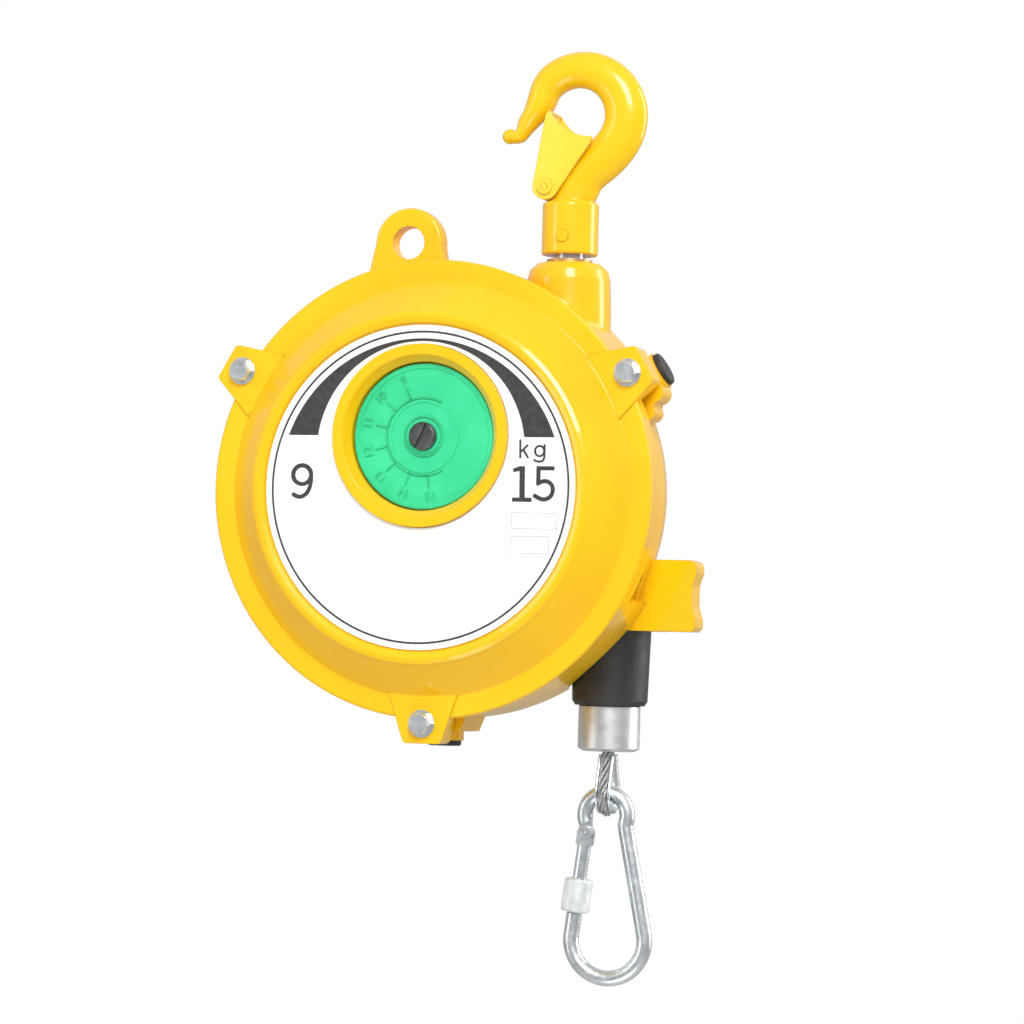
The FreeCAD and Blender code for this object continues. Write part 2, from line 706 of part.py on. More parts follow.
worm_pitch = math.pi * worm_module
worm_root = number("worm_pitch_radius") - 1.25 * worm_module
worm_top = number("worm_pitch_radius") + worm_module
worm_length = number("worm_length")
thread_length = 2 * math.floor((worm_length - worm_pitch) / (2 * worm_pitch)) * worm_pitch
helix = Part.makeHelix(worm_pitch, thread_length, worm_root)
flank = 0.30 * worm_pitch
crest = 0.13 * worm_pitch
thread_section = Part.makePolygon([
    Vector(worm_root - 0.4, 0, -flank),
    Vector(worm_top, 0, -crest),
    Vector(worm_top, 0, crest),
    Vector(worm_root - 0.4, 0, flank),
    Vector(worm_root - 0.4, 0, -flank),
])
thread = Part.Wire(helix).makePipeShell([thread_section], True, True)
thread.translate(Vector(0, 0, -thread_length / 2))
tail = number("worm_tail")
journal = number("worm_journal")
core = Part.makeCylinder(worm_root, worm_length, Vector(0, 0, -worm_length / 2))
stem = Part.makeCylinder(journal - 0.05, worm_length / 2 + 11.8 + tail, Vector(0, 0, -tail))
socket = Part.makePolygon([
    Vector(number("worm_key") / math.sqrt(3) * math.cos(math.radians(60 * k)),
           number("worm_key") / math.sqrt(3) * math.sin(math.radians(60 * k)), -tail)
    for k in (0, 1, 2, 3, 4, 5, 0)
])
key_socket = Part.Face(socket).extrude(Vector(0, 0, 7))
worm_shape = core.fuse([stem, thread]).cut(key_socket)
shaped("Worm", "worm_shaft", worm_shape, WORM_X, "wheel_plane", "0")

worm_bush_length = "8"
WORM_BUSH = "(worm_length / 2 + 0.4)"
worm_bushes = []
for side_name, start in (("Upper", WORM_BUSH), ("Lower", f"-{WORM_BUSH} - {worm_bush_length}")):
    sleeve = rod(f"WormBush{side_name}", "worm_journal + bush_wall", worm_bush_length,
                 WORM_X, "wheel_plane", start, UPWARD)
    sleeve_bore = rod(f"WormBushBore{side_name}", "worm_journal", f"{worm_bush_length} + 2",
                      WORM_X, "wheel_plane", f"{start} - 1", UPWARD)
    worm_bushes.append(cut(f"WormBushTube{side_name}", sleeve, [sleeve_bore]))
place(group("WormBushes", worm_bushes), "worm_bushes")


# ---------------------------------------------------------------- conical drum
def cone_radius(plane):
    """Rope-centre radius on the drum at a distance along the axis."""
    return f"(drum_small_radius + (rope_plane - ({plane})) * {CONE_SLOPE})"


LAND = "0.3"
RIM_BACK = "(drum_front + drum_rim)"
TAIL_FRONT = "(drum_back - 2.2)"
DRUM_BUSH_HOLE = "(shaft_radius + bush_wall)"
COVER_SEAT = "(drum_front + 2)"
drum_blank = turned_body("DrumBlank", [
    ("spring_room + 12", "drum_front"),
    ("drum_rim_radius - 0.5", "drum_front"),
    ("drum_rim_radius", "drum_front + 0.5"),
    ("drum_rim_radius", RIM_BACK),
    (f"{cone_radius(RIM_BACK)} - {LAND}", RIM_BACK),
    (f"{cone_radius(TAIL_FRONT)} - {LAND}", TAIL_FRONT),
    ("drum_tail_rim - 0.6", TAIL_FRONT),
    ("drum_tail_rim", f"{TAIL_FRONT} + 0.6"),
    ("drum_tail_rim", "drum_back"),
    (DRUM_BUSH_HOLE, "drum_back"),
    (DRUM_BUSH_HOLE, "drum_back - drum_web - 1.5"),
    ("shaft_radius + 6", "drum_back - drum_web - 1.5"),
    ("shaft_radius + 6", "drum_back - drum_web"),
    ("spring_room", "drum_back - drum_web"),
    ("spring_room", COVER_SEAT),
    ("spring_room + 12", COVER_SEAT),
])


def cone_helix():
    """Helix of the rope's centre line about +Z, widening from the small end of the drum."""
    slope = math.atan(number(CONE_SLOPE))
    pitch = number("groove_pitch") / math.cos(slope)
    return Part.makeHelix(pitch, pitch * number("groove_turns"), number("drum_small_radius"),
                          math.degrees(slope))


def rope_leave_angle():
    """Direction of the drum radius at which the rope leaves for the guide."""
    reach = math.hypot(number("rope_line"), number("outlet_top"))
    to_drum = 180 - math.degrees(math.atan2(number("outlet_top"), number("rope_line")))
    swing = math.degrees(math.asin(number("drum_small_radius") / reach))
    return to_drum - swing - 90


def wound(radius):
    """A round section wound on the drum, from where the rope leaves to the large end."""
    start = round_section(Vector(number("drum_small_radius"), 0, 0), Vector(0, 1, 0), radius)
    coil = Part.Wire(cone_helix()).makePipeShell([start], True, True)
    coil.rotate(Vector(), Vector(1, 0, 0), 90)
    coil.rotate(Vector(), Vector(0, 1, 0), -rope_leave_angle())
    return coil.translated(Vector(0, number("rope_plane"), 0))


rope_radius = number("rope_radius")
rope_wrap = wound(rope_radius)
groove = wound(rope_radius + number("groove_clearance"))

# the groove runs on past the point where the rope leaves, and the rope's far end
# turns in to a pocket in the rim, where its anchor screw holds it
leave = math.radians(rope_leave_angle())
run_out = sweep([Part.Arc(*[Vector(number("drum_small_radius") * math.cos(leave - swing),
                                   number("rope_plane"),
                                   number("drum_small_radius") * math.sin(leave - swing))
                            for swing in (0, 0.35, 0.7)]).toShape()],
                round_section(Vector(number("drum_small_radius") * math.cos(leave), number("rope_plane"),
                                     number("drum_small_radius") * math.sin(leave)),
                              Vector(-math.sin(leave), 0, math.cos(leave)),
                              rope_radius + number("groove_clearance")))
lead_room = Part.makeCylinder(rope_radius + number("groove_clearance"), 30,
                              Vector(number("drum_small_radius") * math.cos(leave), number("rope_plane"),
                                     number("drum_small_radius") * math.sin(leave)),
                              Vector(math.sin(leave), 0, -math.cos(leave)))
drum_shape = drum_blank.Shape.cut(groove).cut(run_out).cut(lead_room)

end_angle = leave + 2 * math.pi * number("groove_turns")
end_radius = number("drum_large_radius")
end_plane = number(f"rope_plane - groove_pitch * groove_turns")
notch_count = round(number("lock_notches"))
rim = number("drum_rim_radius")
for notch in range(notch_count):
    bearing = notch * 360 / notch_count
    tool = Part.makeCylinder(3.2, 6, Vector(rim - 4.5, number("plug_plane"), 0), Vector(1, 0, 0))
    tool.rotate(Vector(), Vector(0, 1, 0), -(bearing + 30))
    drum_shape = drum_shape.cut(tool)
screw_spots = []
for screw in range(4):
    bearing = math.radians(45 + 90 * screw)
    middle = number("spring_room") + 7
    spot = Vector(middle * math.cos(bearing), number(COVER_SEAT), middle * math.sin(bearing))
    screw_spots.append(spot)
    drum_shape = drum_shape.cut(Part.makeCylinder(1.5, 9, spot, Vector(0, 1, 0)))
spring_slot = Part.makeBox(2.2, number(f"drum_back - drum_web - ({COVER_SEAT})"), 3,
                           Vector(number("spring_room") - 0.6, number(COVER_SEAT), -1.5))
drum_shape = drum_shape.cut(spring_slot)
shaped("Drum", "rope_drum", drum_shape)
shaped("RopeWrap", "rope_on_drum", rope_wrap)

for end_name, start in (("front", "drum_front + 0.2"), ("rear", "drum_back - drum_web - 1.5")):
    tube_end = "drum_back" if end_name == "rear" else COVER_SEAT
    tube = turned_body(f"DrumBush{end_name}", [
        ("shaft_radius + running_clearance", start),
        (DRUM_BUSH_HOLE, start),
        (DRUM_BUSH_HOLE, tube_end),
        ("shaft_radius + running_clearance", tube_end),
    ])
    place(tube, f"drum_bush_{end_name}")

spring_cover = turned_body("SpringCover", [
    (DRUM_BUSH_HOLE, "drum_front + 0.2"),
    ("spring_room + 11.9", "drum_front + 0.2"),
    ("spring_room + 11.9", COVER_SEAT),
    (DRUM_BUSH_HOLE, COVER_SEAT),
])
screw_front = number("drum_front + 0.2")
screw_holes = []
for index, spot in enumerate(screw_spots):
    cone = Part.makeCone(3.0, 1.5, 1.5, Vector(spot.x, screw_front, spot.z), Vector(0, 1, 0))
    shank = Part.makeCylinder(1.5, 8, Vector(spot.x, screw_front + 1, spot.z), Vector(0, 1, 0))
    screw_holes.append(cone.fuse(shank))
cover_shape = spring_cover.Shape
for hole in screw_holes:
    cover_shape = cover_shape.cut(hole)
shaped("SpringCoverDrilled", "spring_cover", cover_shape)
shaped("SpringCoverScrews", "spring_cover_screws", Part.makeCompound(screw_holes))

# ---------------------------------------------------------------- power spring and its arbor
SPRING_FRONT = f"({COVER_SEAT} + spring_gap)"
SPRING_BACK = "(drum_back - drum_web - 1.5 - spring_gap)"


def half_turn(centre, radius, upper):
    """Half a circle about a point on the X axis, from +X to -X above or back below."""
    side = 1 if upper else -1
    return Part.Arc(Vector(centre + side * radius, 0, 0), Vector(centre, 0, side * radius),
                    Vector(centre - side * radius, 0, 0)).toShape()


def spiral_strip(first_radius, pitch, turns, thickness):
    inner = []
    outer = []
    radius = first_radius
    centre = 0.0
    for half in range(2 * turns):
        side = 1 if half % 2 == 0 else -1
        inner.append(half_turn(centre, radius, side > 0))
        outer.append(half_turn(centre, radius + thickness, side > 0))
        radius += pitch / 2
        centre += side * pitch / 2
    first = Part.LineSegment(inner[0].Vertexes[0].Point, outer[0].Vertexes[0].Point).toShape()
    last = Part.LineSegment(inner[-1].Vertexes[1].Point, outer[-1].Vertexes[1].Point).toShape()
    edges = Part.__sortEdges__(inner + [last] + outer + [first])
    return Part.Face(Part.Wire(edges))


spring_turns = round(number("spring_turns"))
strip_width = number(f"{SPRING_BACK} - {SPRING_FRONT}")
spring_face = spiral_strip(number("arbor_radius + 0.4"), number("spring_pitch"), spring_turns,
                           number("spring_strip"))
spring_shape = spring_face.extrude(Vector(0, strip_width, 0))
shaped("PowerSpring", "power_spring", spring_shape, "0", SPRING_FRONT, "0")
arbor = turned_body("Arbor", [
    ("shaft_radius", SPRING_FRONT),
    ("arbor_radius", SPRING_FRONT),
    ("arbor_radius", SPRING_BACK),
    ("shaft_radius", SPRING_BACK),
])
arbor_key_way = block("ArborKeyWay", ("-1.5", "drum_front", "-shaft_radius - 1.5"),
                      ("1.5", "drum_back", "-shaft_radius + 2"))
arbor_hook = block("ArborHook", ("arbor_radius - 1.4", "drum_front", "-1.2"),
                   ("arbor_radius + 1", "drum_back", "0.2"))
place(cut("SpringArbor", arbor, [arbor_key_way, arbor_hook]), "spring_arbor")

# ---------------------------------------------------------------- rope guide, buffer, stopper
GUIDE_BORE = "(rope_radius + 0.35)"
guide = turned_body("RopeGuide", [
    (GUIDE_BORE, "-outlet_bottom"),
    ("guide_radius", "-outlet_bottom"),
    ("guide_radius", "-outlet_top"),
    ("guide_flange", "-outlet_top"),
    ("guide_flange", "-outlet_top + 1.4"),
    ("guide_flange - 0.6", "-outlet_top + 2"),
    (f"{GUIDE_BORE} + 3.4", "-outlet_top + 2"),
    (f"{GUIDE_BORE} + 1.9", "-outlet_top - 0.5"),
    (f"{GUIDE_BORE} + 0.8", "-outlet_top - 4"),
    (GUIDE_BORE, "-outlet_top - 9"),
], "Z")
place(guide, "rope_guide", "rope_line", "rope_plane", "0")

# the buffer and the stopper are bored off centre, because the eye hangs centred
# and the rope runs up from one of its two legs
buffer_blank = turned_body("BufferBlank", [
    ("0", "-outlet_bottom"),
    ("buffer_radius", "-outlet_bottom"),
    ("buffer_foot_radius", f"{BUFFER_BOTTOM} + 1.8"),
    ("buffer_foot_radius - 1.2", BUFFER_BOTTOM),
    ("0", BUFFER_BOTTOM),
], "Z")
ROPE_OFFSET = f"(rope_plane - {LOAD_PLANE})"
buffer_bore = rod("BufferBore", "rope_radius + 0.15", "buffer_length + 2", "0", ROPE_OFFSET,
                  f"{BUFFER_BOTTOM} - 1", UPWARD)
place(cut("Buffer", buffer_blank, [buffer_bore]), "rubber_buffer", "rope_line", LOAD_PLANE, "0")
stopper_blank = turned_body("StopperBlank", [
    ("0", BUFFER_BOTTOM),
    ("stopper_radius - 0.4", BUFFER_BOTTOM),
    ("stopper_radius", f"{BUFFER_BOTTOM} - 0.4"),
    ("stopper_radius", f"{STOPPER_BOTTOM} + 1.2"),
    ("stopper_radius - 2.2", STOPPER_BOTTOM),
    ("0", STOPPER_BOTTOM),
], "Z")
rope_bore = rod("StopperBore", "rope_radius + 0.1", "stopper_length + 2", "0", ROPE_OFFSET,
                f"{STOPPER_BOTTOM} - 1", UPWARD)
tail_bore = rod("StopperTailBore", "rope_radius + 0.1", "stopper_length - 3", "0", f"-{ROPE_OFFSET}",
                f"{STOPPER_BOTTOM} - 1", UPWARD)
place(cut("Stopper", stopper_blank, [rope_bore, tail_bore]), "rope_stopper", "rope_line", LOAD_PLANE, "0")

# ---------------------------------------------------------------- the rope's straight stretches
rope_line = number("rope_line")
rope_plane = number("rope_plane")
small_radius = number("drum_small_radius")
leave_point = Vector(small_radius * math.cos(leave), rope_plane, small_radius * math.sin(leave))
corner = Vector(rope_line, rope_plane, -number("outlet_top"))
lean = corner.sub(leave_point)
lean.normalize()
half_bend = math.acos(-lean.z) / 2
bend_run = number("rope_bend") * math.tan(half_bend)
bend_start = corner.sub(lean * bend_run)
bend_end = corner + Vector(0, 0, -bend_run)
to_centre = Vector(-1, 0, 0) * number("rope_bend")
bend_middle_turn = half_bend
centre_of_bend = bend_end + to_centre
bend_middle = centre_of_bend + Vector(math.cos(bend_middle_turn), 0,
                                      math.sin(bend_middle_turn)) * number("rope_bend")
guide_foot = Vector(rope_line, rope_plane, -number("outlet_bottom"))
lead_path = [
    Part.LineSegment(leave_point, bend_start).toShape(),
    Part.Arc(bend_start, bend_middle, bend_end).toShape(),
    Part.LineSegment(bend_end, guide_foot).toShape(),
]
lead_shape = sweep(lead_path, round_section(leave_point, lean, rope_radius))
lead_length = sum(edge.Length for edge in lead_path)
print(f"the rope bends at {number('rope_bend'):.0f} mm radius and runs {lead_length:.1f} mm inside")
shaped("RopeLead", "rope_lead", lead_shape)
rope_fall = rod("RopeFall", "rope_radius", "buffer_length", "0", "0", BUFFER_BOTTOM, UPWARD)
place(rope_fall, "rope_fall", "rope_line", "rope_plane", BUFFER_BOTTOM)

# ---------------------------------------------------------------- rope eye round its thimble
eye_radius = number("eye_radius")
leg = number("rope_radius + rope_leg_gap / 2")
eye_top = number(f"{STOPPER_BOTTOM} - ({EYE_CENTRE})")


def eye_points(radius, spread, top):
    """Where a loop of this radius about the origin meets legs that start at +-spread, top."""
    reach = math.hypot(spread, top)
    bearing = math.atan2(top, spread)
    touch = bearing - math.acos(radius / reach)
    return radius * math.cos(touch), radius * math.sin(touch)


def eye_path(radius, spread, top, rise):
    """Straight down, out along a leg, round the loop and back up, in Y and Z."""
    y_touch, z_touch = eye_points(radius, spread, top)
    edges = []
    if rise > 0:
        edges.append(Part.LineSegment(Vector(0, -spread, top + rise), Vector(0, -spread, top)).toShape())
    edges.append(Part.LineSegment(Vector(0, -spread, top), Vector(0, -y_touch, z_touch)).toShape())
    edges.append(Part.Arc(Vector(0, -y_touch, z_touch), Vector(0, 0, -radius),
                          Vector(0, y_touch, z_touch)).toShape())
    edges.append(Part.LineSegment(Vector(0, y_touch, z_touch), Vector(0, spread, top)).toShape())
    return edges


leg_edges = eye_path(eye_radius, leg, eye_top, 0)
first_leg = leg_edges[0].Vertexes[0].Point.sub(leg_edges[0].Vertexes[1].Point)
loop_shape = sweep(leg_edges, round_section(Vector(0, -leg, eye_top), first_leg, rope_radius))
riser = Part.makeCylinder(rope_radius, number("stopper_length"), Vector(0, -leg, eye_top))
dead_end = Part.makeCylinder(rope_radius, number("stopper_length - 4"), Vector(0, leg, eye_top))
caps = [Part.makeSphere(rope_radius, Vector(0, side * leg, eye_top)) for side in (-1, 1)]
eye_shape = loop_shape.fuse([riser, dead_end] + caps)
shaped("RopeEye", "rope_eye", eye_shape, "rope_line", LOAD_PLANE, EYE_CENTRE)

wall = number("thimble_wall")
bed = rope_radius + 0.02
throat = eye_radius - rope_radius
thimble_top = eye_top - 4.5
y_start, z_start = eye_points(eye_radius, leg, eye_top)
lean_leg = Vector(0, -y_start + leg, z_start - eye_top)
lean_leg.normalize()
lip_reach = rope_radius + wall + 0.35


def channel(across, along):
    """U-shaped section: across points away from the loop's middle, along runs down the leg."""
    side = Vector(1, 0, 0)
    start = Vector(0, -leg, eye_top) + along * 4.5
    corners = [
        (-lip_reach, rope_radius * 0.7), (-lip_reach, -rope_radius - wall),
        (lip_reach, -rope_radius - wall),
        (lip_reach, rope_radius * 0.7), (lip_reach - wall, rope_radius * 0.7), (lip_reach - wall, -bed),
        (-lip_reach + wall, -bed), (-lip_reach + wall, rope_radius * 0.7),
    ]
    points = [start + side * a + across * b for a, b in corners]
    return Part.makePolygon(points + points[:1])


across = Vector(0, -lean_leg.z, lean_leg.y) * -1
if across.y > 0:
    across = across * -1
thimble_edges = eye_path(eye_radius, leg, eye_top, 0)
trimmed_start = Vector(0, -leg, eye_top) + lean_leg * 4.5
trimmed_end = Vector(0, -trimmed_start.y, trimmed_start.z)
thimble_edges[0] = Part.LineSegment(trimmed_start, thimble_edges[0].Vertexes[1].Point).toShape()
thimble_edges[-1] = Part.LineSegment(thimble_edges[1].Vertexes[1].Point, trimmed_end).toShape()
thimble_shape = sweep(thimble_edges, channel(across, lean_leg))
thimble_shape = thimble_shape.cut(eye_shape)
shaped("Thimble", "thimble", thimble_shape, "rope_line", LOAD_PLANE, EYE_CENTRE)

# ---------------------------------------------------------------- rear housing casting
housing_shell = turned_body("HousingShell", [
    ("0", SEAM),
    ("flange_radius", SEAM),
    ("flange_radius", f"{HOUSING_RIM} - 0.6"),
    ("flange_radius - 0.6", HOUSING_RIM),
    ("housing_radius + 1.2", HOUSING_RIM),
    ("housing_radius", f"{HOUSING_RIM} + 2"),
    ("housing_radius", "housing_shoulder"),
    ("housing_radius - 1.8", "housing_shoulder + (housing_depth - housing_shoulder) * 0.42"),
    ("housing_radius - 5.2", "housing_shoulder + (housing_depth - housing_shoulder) * 0.78"),
    ("housing_back_radius + 8", "housing_depth - 1.6"),
    ("housing_back_radius", "housing_depth"),
    ("hub_boss_radius", "housing_depth"),
    ("hub_boss_radius - 1", "housing_depth + hub_boss_height"),
    ("0", "housing_depth + hub_boss_height"),
])
BULGE = "(flange_radius - 0.5)"


def sector(name, radius, front, back, start, sweep_angle):
    """A slice of a disc round the drum axis, between two bearings."""
    pie = rod(name, radius, f"({back}) - ({front})", "0", front, "0")
    pie.Angle = sweep_angle
    turned_y = FreeCAD.Rotation(Vector(0, 1, 0), -(start + sweep_angle))
    pie.Placement.Rotation = turned_y.multiply(FreeCAD.Rotation(Vector(1, 0, 0), -90))
    return pie


top_bulge = sector("TopBulge", BULGE, HOUSING_RIM, "housing_shoulder + 2", 32, 26)
low_bulge = sector("LowBulge", BULGE, HOUSING_RIM, "housing_shoulder + 7", -84, 56)
housing_ears = ears("HousingEar", "housing_radius - 4", SEAM, HOUSING_RIM)

# hook boss
hook_boss_turn = turned_body("HookBossTurn", [
    ("0", "0"),
    ("boss_radius", "0"),
    ("boss_radius", "boss_top - 20"),
    ("boss_radius - 0.6", "boss_top - boss_round"),
    ("boss_radius - boss_round * 0.13 - 0.6", "boss_top - boss_round * 0.5"),
    ("boss_radius - boss_round * 0.5 - 0.6", "boss_top - boss_round * 0.13"),
    ("boss_radius - boss_round - 0.6", "boss_top"),
    ("0", "boss_top"),
], "Z")
bind(hook_boss_turn, "Placement.Base.x", "hook_line")
bind(hook_boss_turn, "Placement.Base.y", "hook_plane")

# outlet block and its waisted stub
outlet_block = slab_body("OutletBlock", [
    ("rope_line - 16", "-outlet_top"),
    ("rope_line + 19", "-outlet_top"),
    ("rope_line + 19", "-outlet_bottom"),
    ("rope_line - 16", "-outlet_bottom"),
], "stub_front", "housing_depth")
stub = slab_body("Stub", [
    ("rope_line + 6", "-stub_top"),
    ("stub_reach - 2.6", "-stub_top"),
    ("stub_reach - 0.8", "-stub_top - 0.8"),
    ("stub_reach", "-stub_top - 2.6"),
    ("stub_reach", "-stub_top - 5"),
    ("stub_reach - stub_waist", "-stub_top - 10"),
    ("stub_reach - stub_waist", "-outlet_bottom + 10"),
    ("stub_reach", "-outlet_bottom + 5"),
    ("stub_reach", "-outlet_bottom + 1.6"),
    ("stub_reach - 1.6", "-outlet_bottom"),
    ("rope_line + 6", "-outlet_bottom"),
], "stub_front", "stub_front + stub_thickness")
# cast web that carries the stub's front face back into the round wall
stub_web = slab_body("StubWeb", [
    ("housing_radius * 0.86", "-stub_top"),
    ("housing_radius * 0.86 + 8", "-stub_top"),
    ("rope_line + 11", "-outlet_bottom"),
    ("rope_line", "-outlet_bottom"),
], "stub_front - 7", "stub_front + 2")

# safety eye lug
lug_disc = rod("LugDisc", "eye_lug_radius", "eye_lug_thickness", "eye_lug_x", "eye_lug_front",
               "eye_lug_z")
lug_root = slab_body("LugRoot", [
    ("eye_lug_x - eye_lug_radius * 0.94", "eye_lug_z + eye_lug_radius * 0.3"),
    ("eye_lug_x - eye_lug_radius - 5.5", "housing_radius - 12"),
    ("eye_lug_x + eye_lug_radius + 4", "housing_radius - 12"),
    ("eye_lug_x + eye_lug_radius * 0.94", "eye_lug_z + eye_lug_radius * 0.3"),
], "eye_lug_front", "eye_lug_front + eye_lug_thickness")
lug_faces = (number("eye_lug_front"), number("eye_lug_front + eye_lug_thickness"))
lug_foot = number("housing_radius - 12")


def is_lug_rim(edge):
    """An edge of the lug's front or back face, other than the one inside the casting."""
    heights = [vertex.Y for vertex in edge.Vertexes]
    feet = [vertex.Z for vertex in edge.Vertexes]
    on_face = any(max(abs(height - face) for height in heights) < 0.001 for face in lug_faces)
    return on_face and max(feet) > lug_foot + 1


eye_lug = rounded("EyeLug", joined("EyeLugBlank", [lug_disc, lug_root]), "eye_lug_edge", is_lug_rim)

# radial bosses that the rubber plugs close, and the cast lobes beside them
plug_bosses = []
for plug_angle in PLUG_ANGLES:
    boss_x, boss_z = radial("housing_radius - 6", plug_angle)
    plug_bosses.append(rod(f"PlugBoss{len(plug_bosses)}", "plug_boss_radius",
                           "plug_reach - plug_head - housing_radius + 6", boss_x, "plug_plane", boss_z,
                           towards(plug_angle)))
LOBE_BACK = f"({HOUSING_RIM} + 15)"
lobe_places = [(9.4, 24.66, 4.2), (4.3, 20.87, 3.5)]
lobes = []
for stand_off, bearing, size in lobe_places:
    lobe_x, lobe_z = radial(f"housing_radius + {stand_off}", bearing)
    lobes.append(rod(f"Lobe{len(lobes)}", str(size), f"{LOBE_BACK} - {HOUSING_RIM} - 2",
                     lobe_x, f"{HOUSING_RIM} + 2", lobe_z))
lobe_web = slab_body("LobeWeb", [
    radial("housing_radius - 4", 30),
    radial("housing_radius + 9.4", 27.2),
    radial("housing_radius + 10.4", 23.6),
    radial("housing_radius + 5.6", 19.4),
    radial("housing_radius + 1.2", 18),
    radial("housing_radius - 4", 19),
], f"{HOUSING_RIM} + 2", LOBE_BACK)
low_lobe = slab_body("LowLobe", [
    ("2", "-housing_radius + 4"),
    ("2", "-plug_reach + 6"),
    ("11.5", "-plug_reach + 6"),
    ("16", "-housing_radius + 2"),
], f"{HOUSING_RIM} + 1", "plug_plane + 9")

ribs = []
for index in range(round(number("rib_count"))):
    rib = block(f"Rib{index}", ("hub_boss_radius - 2", "housing_depth - 1", "-2"),
                ("housing_back_radius - 3", "housing_depth + 2.2", "2"))
    rib_turn = FreeCAD.Rotation(Vector(0, 1, 0), -(30 + index * 360 / number("rib_count")))
    for axis in "xyz":
        rib.setExpression(f"Placement.Base.{axis}", None)
    corner_x = number("hub_boss_radius - 2")
    rib.Placement = FreeCAD.Placement(rib_turn.multVec(Vector(corner_x, number("housing_depth - 1"), -2)),
                                      rib_turn)
    ribs.append(rib)

# inside: cavity, with the outlet block and the worm's bearing blocks left standing
wide_cavity = turned_body("WideCavity", [
    ("0", "cover_flange - 1"),
    (INNER_RADIUS, "cover_flange - 1"),
    (INNER_RADIUS, "housing_shoulder"),
    ("housing_radius - 5.2 - housing_wall - 1", CAVITY_BACK),
    ("0", CAVITY_BACK),
])
keep_block = block("KeepBlock", ("rope_line - 22", "drum_front - 1", f"-{INNER_RADIUS} - 2"),
                   (f"{INNER_RADIUS} + 2", f"{CAVITY_BACK} + 1", "-outlet_top"))
DRUM_GAP = "2"
drum_room = turned_body("DrumRoom", [
    ("0", "drum_front - 2"),
    (f"drum_rim_radius + {DRUM_GAP}", "drum_front - 2"),
    (f"drum_rim_radius + {DRUM_GAP}", f"{RIM_BACK} + {DRUM_GAP}"),
    (f"drum_tail_rim + {DRUM_GAP} + 3", f"{TAIL_FRONT} - 1"),
    (f"drum_tail_rim + {DRUM_GAP} + 3", CAVITY_BACK),
    ("0", CAVITY_BACK),
])
WORM_BLOCK = "(worm_journal + bush_wall + 1.2)"
worm_keeps = [
    block("WormKeepTop", (f"-{INNER_RADIUS} - 2", "cover_flange - 2", WORM_BUSH),
          (f"{WORM_X} + {WORM_BLOCK}", "drum_front - 1.4", f"{WORM_BUSH} + {worm_bush_length} + 1")),
    block("WormKeepLow", (f"-{INNER_RADIUS} - 2", "cover_flange - 2", f"-{INNER_RADIUS}"),
          (f"{WORM_X} + {WORM_BLOCK}", "drum_front - 1.4", f"-{WORM_BUSH}")),
]
spigot_room = turned_body("SpigotRoom", [
    (f"{INNER_RADIUS} - 3.4", f"{SEAM} - 1"),
    (INNER_RADIUS, f"{SEAM} - 1"),
    (INNER_RADIUS, f"{SEAM} + spigot_length + 0.4"),
    (f"{INNER_RADIUS} - 3.4", f"{SEAM} + spigot_length + 0.4"),
])
cavity = cut("Cavity", joined("CavityFull", [wide_cavity, drum_room]),
             [cut("OutletKeep", keep_block, [drum_room])] + worm_keeps)

buffer_pocket = rod("BufferPocket", "buffer_radius + buffer_pocket_gap", "60", "rope_line", LOAD_PLANE,
                    "-outlet_bottom - 60", UPWARD)
guide_hole = rod("GuideHole", "guide_radius", "outlet_bottom - outlet_top + 2", "rope_line", "rope_plane",
                 "-outlet_bottom - 1", UPWARD)
guide_seat = rod("GuideSeat", "guide_flange + 0.4", "4", "rope_line", "rope_plane", "-outlet_top", UPWARD)
SWIVEL_BUSH = "(swivel_radius + bush_wall)"
swivel_hole = rod("SwivelHole", SWIVEL_BUSH, "30", "hook_line", "hook_plane", "boss_top - 14", UPWARD)
head_room = rod("SwivelHeadRoom", "swivel_head_radius + 1", "50", "hook_line", "hook_plane",
                "boss_top - 62", UPWARD)
lug_hole = rod("LugHole", "eye_lug_bore", "eye_lug_thickness + 2", "eye_lug_x", "eye_lug_front - 1",
               "eye_lug_z")
plug_holes = []
for plug_angle in PLUG_ANGLES:
    seat_x, seat_z = radial("plug_reach - plug_head", plug_angle)
    plug_holes.append(rod(f"PlugSeat{len(plug_holes)}", "plug_radius + 0.3", "10", seat_x, "plug_plane",
                          seat_z,
                          towards(plug_angle)))
    hole_x, hole_z = radial("housing_radius - 12", plug_angle)
    plug_holes.append(rod(f"PlugHole{len(plug_holes)}", "plug_stem", "plug_reach - housing_radius + 14",
                          hole_x, "plug_plane", hole_z, towards(plug_angle)))
worm_bore_low = rod("WormBoreLow", "worm_journal + bush_wall", f"housing_radius - {WORM_BUSH} + 10",
                    WORM_X, "wheel_plane", f"-housing_radius - 10", UPWARD)
worm_bore_top = rod("WormBoreTop", "worm_journal + bush_wall", f"{worm_bush_length} + 4",
                    WORM_X, "wheel_plane", f"{WORM_BUSH} - 0.5", UPWARD)
rear_hole = rod("RearHole", REAR_BUSH_HOLE, "back_wall + hub_boss_height + 4", "0", f"{CAVITY_BACK} - 1",
                "0")
threads = bolt_holes("BoltThread", "bolt_radius", f"{SEAM} - 1", f"{HOUSING_RIM} + 1")

housing_blank = joined("HousingBlank", [housing_shell, top_bulge, low_bulge, hook_boss_turn, outlet_block,
                                        stub, stub_web, eye_lug, low_lobe, lobe_web]
                       + housing_ears + plug_bosses + lobes + ribs)
rear_housing = cut("RearHousing", housing_blank,
                   [cavity, spigot_room, buffer_pocket, guide_hole, guide_seat, swivel_hole, head_room, lug_hole,
                    worm_bore_low, worm_bore_top, rear_hole] + plug_holes + threads)
place(rear_housing, "rear_housing")

